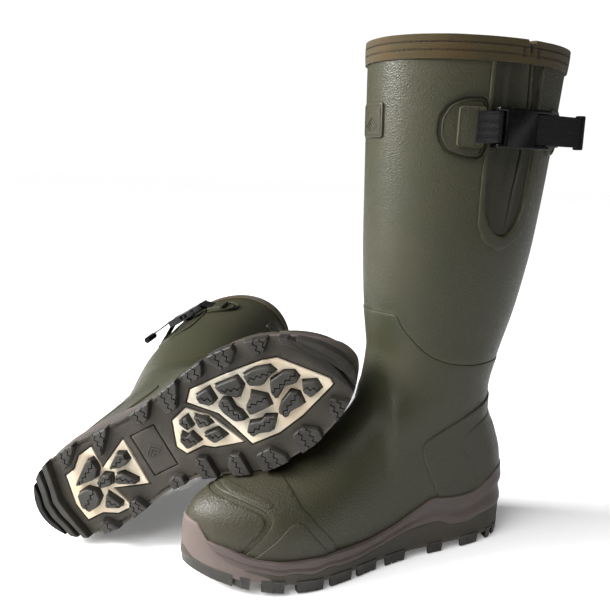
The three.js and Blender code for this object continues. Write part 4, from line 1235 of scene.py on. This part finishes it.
def buildTread():
    pads = {name: drawn(points) for name, points in padOutlines.items()}
    label = drawn(labelFrame)
    holes = [shifted(counterclockwise(loop), -sole["moat"]) for loop in [*pads.values(), label]]
    base = patch(soleLoop(1.0), solePlace, 0, 6, 0.5, holes=holes, sink=2.4)
    floor = patch(soleLoop(4.0), solePlace, -2.3, 9, 0.3, sink=5)
    plate = patch(shifted(counterclockwise(label), 0.4), solePlace, 0.1, 5, 0.4, sink=2)
    mark = emblem(label.mean(0), 8.0, solePlace, 0.9)
    edges = [counterclockwise(overlapLoop(drawn(loop), soleLoop(-0.2))) for loop in edgeLugs + endBars]
    lugs = [lugPrism(loop) for loop in edges]
    cuts = []
    for loop in edges[:len(edgeLugs)]:
        wide = np.ptp(loop[:, 0])
        for offset in ((-0.17, 0.17) if wide > 17 else (0.0,)):
            cuts.append(sipe(loop, offset * wide, np.array([0.0, 1.0])))
    for loops in padLugs.values():
        for loop in loops:
            loop = drawn(loop)
            lugs.append(lugPrism(loop))
            cuts.append(sipe(loop, 0.0))
    lugs = sprung(cutAway(together(*lugs), together(*cuts)))
    addPiece("tread", together(base, floor, plate, *mark, wrapBand()),
             "treadRubber", ["outsole"])
    addPiece("tread_lugs", lugs, "lugRubber", ["outsole"])
    for name, loop in pads.items():
        inner = [drawn(points) for points in padLugs[name]]
        around = [shifted(counterclockwise(one), -sole["moat"] - 0.3) for one in inner]
        outline = shifted(counterclockwise(loop), sole["moat"])
        shape = patch(outline, solePlace, sole["padProud"], 4, 0.4, holes=around, sink=2.0)
        addPiece(name.replace("grip_pad", "grip_face"), shape, "padRubber", [name])


buildMidsole()
buildBumper()
buildTread()
print("sole made")


# gusset and its surround, on the outer side of the shaft

flexing = {"lift": -1.0, "valleyHalf": 1.15, "valley": 1.15, "billow": 3.2, "crease": 0.7, "creaseX": 83.0,
           "ridge": 0.7, "ridgeX": 75.0,
           "besides": (-4.2, -2.8, -1.8, -1.2, -0.6, 0, 0.6, 1.2, 1.8, 2.8, 4.2)}
foldLine = curveThrough([(300, 64), (331, 62), (369, 58), (402, 55), (442, 56.5), (470, 57)])
foldShare = curveThrough([(296, 0), (308, 0.1), (331, 0.6), (369, 1), (405, 0.95), (442, 0.9), (470, 0.8)])


def gussetRelief(u, v):
    away = u - foldLine(v)
    share = foldShare(v)
    inner = np.where(away > 0, np.exp(-((away - 1.8) / 5.0) ** 2), np.exp(-((away + 1.8) / 3.4) ** 2))
    valley = np.exp(-np.abs(away / flexing["valleyHalf"]) ** 2.5)
    bulge = share * flexing["billow"] * inner * (1 - valley) - share * flexing["valley"] * valley
    crease = flexing["crease"] * np.exp(-((u - flexing["creaseX"] + (v - 300) * 0.02) / 1.8) ** 2)
    ridge = flexing["ridge"] * np.exp(-((u - flexing["ridgeX"] - (v - 380) * 0.03) / 2.6) ** 2)
    return bulge - crease + ridge * smooth(330, 380, v)


def buildGusset():
    outline = rounded(gussetOutline(-0.4), 2, cut=0.2)
    outline[:, 1] = np.minimum(outline[:, 1], height - 0.4)
    rows = np.arange(302, height - 2, 2.2)
    lines = [np.column_stack([foldLine(rows) + by, rows]) for by in flexing["besides"]]
    shape = patch(outline, sideChart, flexing["lift"], 2.3, 0.6, sink=1.9, shape=gussetRelief, lines=lines)
    # the gusset panel takes the darker rubber that carries painted shade for the recess
    addPiece("gusset_panel", shape, "gussetRubberAndShade", ["gusset"])
    low = boot["height"] - binding["band"] - 0.2
    hole = rounded(gussetOutline(0.6), 2, cut=0.2)
    outer = rounded(surroundOutline(), 2, cut=0.1)
    loops = []
    for loop, over in ((outer, 0), (hole, 30)):
        loop = loop.copy()
        loop[:, 1] = np.minimum(loop[:, 1], low + over)
        loops.append(loop)
    opened = openBand(loops[0], loops[1], low)
    shape = patch(opened, sideChart, overlays["vamp"] + 0.4, 2.6, 0.8, sink=1.4)
    addPiece("gusset_frame", shape, "overlayRubber", ["gusset_surround"])


def openBand(outer, inner, top):
    def ordered(loop):
        part = loop[loop[:, 1] < top - 0.5]
        start = int(np.argmax(np.hypot(*(np.roll(part, -1, 0) - part).T))) + 1
        part = np.roll(part, -start, 0)
        return part if part[0, 0] > part[-1, 0] else part[::-1]
    out, into = ordered(outer), ordered(inner)
    return np.vstack([[(out[0, 0], top)], out, [(out[-1, 0], top)], [(into[-1, 0], top)], into[::-1],
                      [(into[0, 0], top)]])


# rim binding with its stitch rows and the notch over the fold

binding = {"band": 17.0, "outer": 1.9, "inner": -9.7, "top": 1.9, "rowDrops": (4.4, 10.6), "groove": 1.0,
           "stitch": 3.3, "gap": 1.1, "thread": 0.55, "seamHalf": 0.55, "puff": 0.35, "wave": 0.12,
           "barTacks": (-7.5, 8.0), "tackGap": 1.2, "tackThread": 0.6,
           "tackDrops": (4.0, 12.5)}


def notchDrop(angle, level):
    point = formPoint(angle, level)
    near = 1 - np.abs(point[:, 0] - gusset["foldX"]) / (gusset["notchWidth"] / 2)
    return np.where(np.sin(angle) > 0, np.clip(near, 0, 1) * (gusset["notchDepth"] + binding["top"]), 0)


def bindingAngles():
    middle = float(angleAt(gusset["foldX"], height)[0])
    spread = gusset["notchWidth"] / 2 / 88
    dense = np.linspace(middle - spread * 1.3, middle + spread * 1.3, 27)
    rest = ringAngles[(ringAngles < dense[0] - 0.01) | (ringAngles > dense[-1] + 0.01)]
    return np.sort(np.concatenate([dense, rest]))


def buildBinding():
    angle = bindingAngles()
    drop = notchDrop(angle, np.full(len(angle), height))
    low, high = height - binding["band"], height + binding["top"]
    count = len(angle)
    wave = 0.35 * np.sin(angle * 9) + 0.25 * np.sin(angle * 17 + 1)
    points = []
    for share in np.linspace(0, 1, 22):
        level = low + share * (high - 1.2 - low)
        groove = sum(np.exp(-((level - (height - row)) / binding["seamHalf"]) ** 2)
                     for row in binding["rowDrops"])
        puff = binding["outer"] - binding["groove"] * groove
        puff = puff + binding["puff"] * math.sin(math.pi * share) + binding["wave"] * wave
        lean = np.clip((level - (high - drop)) / 3 + 0.2, 0, 1)
        points.append(grown(angle, np.minimum(level, high - 1.0 - drop), puff - 0.5 * lean * (drop > 0)))
    for turn in range(15, 180, 22):
        turn = math.radians(turn)
        middle = (binding["outer"] + binding["inner"]) / 2
        reach = (binding["outer"] - binding["inner"]) / 2
        by = middle + reach * np.sign(math.cos(turn)) * abs(math.cos(turn)) ** 0.45
        level = high - 1.0 - drop + (1.0 + 0.15 * wave) * math.sin(turn) ** 0.6
        points.append(grown(angle, level, np.full(count, by)))
    for share in np.linspace(0, 1, 8):
        level = high - 1.0 + share * (low - high + 1.0)
        points.append(grown(angle, np.minimum(level, high - 1.0 - drop), np.full(count, binding["inner"])))
    points.append(grown(angle, np.full(count, low), np.full(count, binding["inner"] + 1.2)))
    for start, end, by in ((low, height + 0.2, binding["inner"] + 1.3), (height + 0.2, low, 0.35)):
        for level in np.linspace(start, end, 6):
            points.append(grown(angle, np.minimum(level, high - 2.2 - drop), np.full(count, by)))
    addPiece("rim_tape", gridShape(np.stack(points), wrapRows=True, wrapColumns=True),
             "bindingTape", ["top_binding"], smoothAngle=50)


def threadAlong(start, end, thick, sides=7, bows=8):
    start, end = np.asarray(start, float), np.asarray(end, float)
    axis = end - start
    size = np.linalg.norm(axis)
    axis /= size
    side = np.cross(axis, (0.3, 0.5, 0.81))
    side /= np.linalg.norm(side)
    other = np.cross(axis, side)
    rings = []
    for share in np.linspace(0, 1, bows):
        swell = thick * (max(0.0, 1 - (2 * share - 1) ** 6) ** 0.5 + 0.05)
        turn = np.linspace(0, 2 * math.pi, sides, endpoint=False)
        centre = start + axis * size * share
        rings.append(centre + swell * (np.cos(turn)[:, None] * side + np.sin(turn)[:, None] * other))
    return gridShape(np.stack(rings), wrapColumns=True, caps=True)


def buildStitches():
    threads = []
    for row in binding["rowDrops"]:
        level = height - row
        angle = np.linspace(0, 2 * math.pi, 4000)
        place = grown(angle, np.full(len(angle), level), np.full(len(angle), binding["outer"] - 0.25))
        run = np.concatenate([[0], np.cumsum(np.linalg.norm(np.diff(place, axis=0), axis=1))])
        pitch = binding["stitch"] + binding["gap"]
        count = int(run[-1] / pitch)
        for k in range(count):
            ends = [np.array([np.interp(k * pitch + d, run, place[:, i]) for i in range(3)])
                    for d in (0, binding["stitch"])]
            middle = (ends[0] + ends[1]) / 2
            if middle[1] > 0 and abs(middle[0] - gusset["foldX"]) < 5:
                continue
            threads.append(threadAlong(ends[0], ends[1], binding["thread"]))
    for x in binding["barTacks"]:
        for across in (0, binding["tackGap"]):
            tackX = np.full(2, gusset["foldX"] + x + across)
            angle, level = angleAt(tackX, height - np.array(binding["tackDrops"]))
            ends = grown(angle, level, np.full(2, binding["outer"] + 0.25))
            threads.append(threadAlong(ends[0], ends[1], binding["tackThread"]))
    addPiece("rim_stitches", together(*threads), "stitchThread", ["top_binding"])


buildGusset()
buildBinding()
buildStitches()
print("gusset, surround and rim binding made")


# badge and strap anchors

strap = {"height": 387.0, "width": 25.0, "thickness": 1.6, "play": 0.3, "gap": 0.3,
         "buckleThickness": 9.0, "standOff": 1.2, "lead": 3.0, "plugLength": 12.7, "socketLength": 41.0,
         "bar": 3.0, "slot": 4.4, "tail": 41.0, "roll": 9.0, "rollSteps": 34, "rollPitch": 0.075,
         "rollProud": 3.5, "anchorGap": 3.5}


def bandPlace(u, v, lift):
    return sideChart(u, strap["height"] + np.asarray(v), lift)


def buildBadge():
    outline = rounded([(-19, 377), (11, 377), (11, 406), (-19, 406)], 2, cut=0.06)
    plate = patch(outline, frontChart, 2.1, 2.0, 0.7, sink=0.4)
    frameLoop = shifted(outline, 1.8)
    rim = patch(frameLoop, frontChart, 2.7, 1.6, 0.25, holes=[shifted(outline, 2.7)], sink=0.2)
    mark = emblem(np.array([-4, 388]), 8.0, frontChart, 2.75)
    bar = rounded([(-13, 380.3), (5, 380.3), (5, 381.8), (-13, 381.8)], 1, cut=0.1)
    bar = patch(bar, frontChart, 2.6, 2, 0.2, sink=0.2)
    addPiece("front_badge", together(plate, rim, *mark, bar), "overlayRubber", ["badge"])


buckleFront = gusset["middle"] + gusset["width"] / 2 + strap["lead"]


def buildAnchors():
    start = buckleFront + strap["anchorGap"]
    plate = rounded([(start, -22), (start, 21), (start + 15, 21), (start + 26, 16), (start + 31, 6),
                     (start + 31, -8), (start + 26, -18), (start + 14, -22)], 2, cut=0.18)
    tunnel = rounded([(start, -16), (start, 16), (start + 19, 16), (start + 21, 14), (start + 21, -14),
                      (start + 19, -16)], 1, cut=0.12)

    def swell(u, v):
        across = 1 - np.clip(np.abs(v) / 16, 0, 1) ** 4
        end = 1 - smooth(start + 14, start + 21, u) * 0.55
        crease = -0.9 * np.exp(-((u - start - 6.5) / 0.8) ** 2)
        return (across * 1.1 + crease) * end - 1.2
    shapes = [patch(plate, bandPlace, 2.1, 2.2, 0.8, sink=0.4),
              patch(tunnel, bandPlace, 7.0, 1.6, 1.4, sink=-1.9, shape=swell)]
    shapes.append(patch(shifted(plate, 0.8), bandPlace, 3.0, 1.8, 0.8, holes=[shifted(plate, 3.2)],
                        sink=0.1))
    addPiece("front_anchor_patch", together(*shapes),
             "overlayRubber", ["front_strap_anchor"])
    rear = rounded([(19, -20), (19, 20), (8, 20), (-2, 14), (-5, 6), (-5, -6), (-2, -14), (8, -20)],
                   2, cut=0.18)
    shapes = [patch(rear, bandPlace, 2.0, 2.2, 0.8, sink=0.4),
              patch(shifted(rear, 0.8), bandPlace, 2.9, 1.8, 0.8, holes=[shifted(rear, 3.2)], sink=0.1)]
    addPiece("rear_anchor_patch", together(*shapes),
             "overlayRubber", ["rear_strap_anchor"])


# webbing and buckle

def surfaceAt(x, by):
    back, nose = backX(strap["height"]), noseX(strap["height"])
    angle = math.acos(1 - 2 * (x - back) / (nose - back))
    return grown(angle, strap["height"], by)[:2]


def strapShape(path, thickness, width, step=1.2):
    path = rounded(np.asarray(path, float), 3, closed=False)
    path = pathPoints(path, step)
    along = np.gradient(path, axis=0)
    along /= np.linalg.norm(along, axis=1, keepdims=True) + 1e-9
    normal = np.stack([-along[:, 1], along[:, 0]], 1)
    run = np.concatenate([[0], np.cumsum(np.linalg.norm(np.diff(path, axis=0), axis=1))])
    half, thick = width / 2, thickness / 2
    ring = [(-half, 0), (-half + 0.3, thick * 0.8), (-half + 0.9, thick)]
    ring += [(z, thick) for z in np.linspace(-half + 3, half - 3, 9)]
    ring += [(half - 0.9, thick), (half - 0.3, thick * 0.8), (half, 0)]
    ring += [(z, -t) for z, t in ring[-2:0:-1]]
    points, uv = [], []
    for (z, t) in ring:
        points.append(np.column_stack([path + normal * t, np.full(len(path), strap["height"] + z)]))
        uv.append(np.column_stack([run, np.full(len(path), z + half + (30 if t < 0 else 0))]))
    return gridShape(np.stack(points), wrapRows=True, caps=True), np.vstack(uv)


def buildStraps():
    inner = surfaceAt(gusset["middle"], 0)[1] + strap["gap"] + 1.7 + strap["standOff"]
    middle = inner + strap["buckleThickness"] / 2
    passGap = strap["bar"] / 2 + strap["gap"] + strap["thickness"] / 2 + strap["play"]
    barBack = buckleFront - strap["bar"]
    hairpin = [surfaceAt(buckleFront + 19, 2.9), surfaceAt(buckleFront + 8, 3.1),
               (buckleFront - 0.5, middle - passGap), (barBack - 1, middle - passGap),
               (barBack - 2, middle - passGap / 2), (barBack - 2, middle + passGap / 2),
               (barBack - 1, middle + passGap), (buckleFront, middle + passGap),
               surfaceAt(buckleFront + 9, 5.5), surfaceAt(buckleFront + 19, 5.1)]
    shape, uv = strapShape(hairpin, strap["thickness"], strap["width"])
    addPiece("front_loop", shape, "webbing", ["front_webbing"], uv=uv)
    socketFront = buckleFront - strap["plugLength"] - strap["gap"]
    socketBack = socketFront - strap["socketLength"]
    lift = 2 * strap["gap"] + 2.1 + strap["thickness"] / 2 + 3 * strap["play"]
    rear = [surfaceAt(4, lift), surfaceAt(14, lift), surfaceAt(24, lift), (socketBack - 2, inner + 0.4),
            (socketBack + 1.2, middle - passGap)]
    shape, uv = strapShape(rear, strap["thickness"], strap["width"])
    addPiece("rear_strap", shape, "webbing", ["rear_webbing"], uv=uv,
             crumple={"joint": "buckle_pull", "anchor": surfaceAt(4, lift), "keep": 0.15})
    barX = socketBack + strap["bar"] + strap["slot"]
    front = barX + strap["bar"] + 2
    rollX, rollY = socketBack - strap["tail"], middle - 4
    tail = [(socketBack + 2.2, middle - passGap), (front - 1.2, middle - passGap),
            (front, middle - passGap / 2), (front, middle + passGap / 2), (front - 1.2, middle + passGap),
            (socketBack - 2, middle + passGap), (socketBack - strap["tail"] / 2, middle + passGap - 3),
            (rollX + 1, rollY + strap["roll"] / 2 - strap["thickness"])]
    shape, uv = strapShape(tail, strap["thickness"], strap["width"])
    addPiece("strap_end", shape, "webbing", ["strap_tail"], part="socket", uv=uv)
    # the end is rolled on itself and sewn, so it stands thicker and wider
    coil = []
    for k in range(strap["rollSteps"]):
        turn = math.radians(75 + k * 25)
        size = (strap["roll"] - strap["thickness"]) / 2 - strap["rollPitch"] * k
        coil.append((rollX + size * math.cos(turn), rollY + size * math.sin(turn)))
    shape, uv = strapShape(coil, strap["thickness"] * 1.15, strap["width"] + strap["rollProud"], step=0.8)
    addPiece("strap_roll", shape, "webbing", ["strap_tail"], part="socket", uv=uv)


moulding = {"edge": 0.00055, "flatAngle": 2.0, "edgeAngle": 25.0, "smoothAngle": 40.0}


def softened(node, finish, body):
    mesh = bpy.data.objects[node].data.copy()
    mesh.name = node + "_moulding"
    work = bmesh.new()
    work.from_mesh(mesh)
    bmesh.ops.remove_doubles(work, verts=work.verts, dist=1e-6)
    flat, bent = math.radians(moulding["flatAngle"]), math.radians(moulding["edgeAngle"])
    bmesh.ops.dissolve_limit(work, angle_limit=flat, verts=work.verts, edges=work.edges)
    edges = [e for e in work.edges if len(e.link_faces) == 2 and e.calc_face_angle(0) > bent]
    bmesh.ops.bevel(work, geom=edges, offset=moulding["edge"], segments=2, profile=0.6, affect="EDGES",
                    clamp_overlap=True)
    bmesh.ops.recalc_face_normals(work, faces=work.faces)
    work.to_mesh(mesh)
    work.free()
    mesh.materials.clear()
    mesh.materials.append(materials[finish])
    mesh.shade_smooth()
    mesh.set_sharp_from_angle(angle=math.radians(moulding["smoothAngle"]))
    piece = bpy.data.objects.new(node + "_moulding", mesh)
    bpy.context.collection.objects.link(piece)
    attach(piece, body)
    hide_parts(node)


def buildBuckles():
    parts = {"buckle_plug": "boot", "buckle_socket": "socket", "buckle_prong_upper": "upper",
             "buckle_prong_lower": "lower"}
    for side in ("left", "right"):
        for node, part in parts.items():
            softened(f"{side}_{node}", "bucklePlastic", bodyOf[side][part])
        shank = bpy.data.objects[f"{side}_shank"]
        for index in range(len(shank.material_slots)):
            shank.material_slots[index].material = materials["shankSteel"]


buildBadge()
buildAnchors()
buildStraps()
buildBuckles()
print("badge, straps and buckles made")


# camera, floor and light

view = {"place": (-0.4180, -0.5515, 0.3537), "turn": -26.7, "tilt": -10.9, "roll": -2.0, "lens": 43.46}
studio = {"floor": (0.97, 0.97, 0.97), "floorRoughness": 0.9, "floorRings": (0.0, 0.8, 2.5, 6.0, 14.0),
          "floorSides": 64, "sky": 0.10, "glow": 0.155, "backdrop": 1.03,
          "sun": 3.9, "sunFrom": (-0.9, -0.12, 0.78), "sunSpread": 50.0, "aim": (-0.1, 0.0, 0.2),
          "lamps": {"key": {"place": (-1.35, 0.5, 0.9), "size": 0.7, "power": 56.0},
                    "front": {"place": (-1.0, -1.2, 1.5), "size": 0.6, "power": 6.0}}}


def buildCamera():
    data = bpy.data.cameras.new("camera")
    data.lens = view["lens"]
    data.sensor_width = 36
    camera = bpy.data.objects.new("camera", data)
    turn = Matrix.Rotation(math.radians(view["turn"]), 4, "Z")
    turn = turn @ Matrix.Rotation(math.radians(view["tilt"]), 4, "X")
    turn = turn @ Matrix.Rotation(math.radians(view["roll"]), 4, "Y")
    turn = turn @ Matrix.Rotation(math.radians(90), 4, "X")
    camera.matrix_world = Matrix.Translation(view["place"]) @ turn
    bpy.context.collection.objects.link(camera)
    bpy.context.scene.camera = camera


def buildFloor():
    count = studio["floorSides"]
    turn = np.linspace(0, 2 * math.pi, count, endpoint=False)
    ring = np.column_stack([np.cos(turn), np.sin(turn), np.zeros(count)])
    flat, faces = gridShape(np.stack([ring * (r + 0.001) for r in studio["floorRings"]]), wrapColumns=True)
    faces.append(tuple(range(count)))
    mesh = bpy.data.meshes.new("studio_floor")
    mesh.from_pydata((flat - (0, 0, 0.0003)).tolist(), [], faces)
    tree, shader = startMaterial("floorPaint")
    shader.inputs["Base Color"].default_value = (*studio["floor"], 1)
    shader.inputs["Roughness"].default_value = studio["floorRoughness"]
    shader.inputs["Emission Color"].default_value = (1, 1, 1, 1)
    seen = node(tree, "LightPath").outputs["Is Camera Ray"]
    glow = calc(tree, "MULTIPLY", seen, studio["glow"])
    tree.links.new(glow, shader.inputs["Emission Strength"])
    mesh.materials.append(materials["floorPaint"])
    floor = bpy.data.objects.new("studio_floor", mesh)
    bpy.context.collection.objects.link(floor)


def buildLight():
    world = bpy.data.worlds.new("studio")
    world.use_nodes = True
    sky = world.node_tree.nodes["Background"]
    sky.inputs["Color"].default_value = (1, 1, 1, 1)
    seen = node(world.node_tree, "LightPath").outputs["Is Camera Ray"]
    share = node(world.node_tree, "MapRange", {"Value": seen, "To Min": studio["sky"],
                                               "To Max": studio["backdrop"]})
    world.node_tree.links.new(share.outputs[0], sky.inputs["Strength"])
    bpy.context.scene.world = world
    data = bpy.data.lights.new("sun", "SUN")
    data.energy = studio["sun"]
    data.angle = math.radians(studio["sunSpread"])
    sun = bpy.data.objects.new("sun", data)
    sun.rotation_euler = (-Vector(studio["sunFrom"])).to_track_quat("-Z", "Y").to_euler()
    bpy.context.collection.objects.link(sun)
    for name, values in studio["lamps"].items():
        data = bpy.data.lights.new(name, "AREA")
        data.shape = "DISK"
        data.size = values["size"]
        data.energy = values["power"]
        lamp = bpy.data.objects.new(name, data)
        lamp.location = values["place"]
        aim = Vector(studio["aim"]) - Vector(values["place"])
        lamp.rotation_euler = aim.to_track_quat("-Z", "Y").to_euler()
        bpy.context.collection.objects.link(lamp)


buildCamera()
buildFloor()
buildLight()
bpy.context.scene.view_settings.view_transform = "Standard"

print("camera, floor and light made")
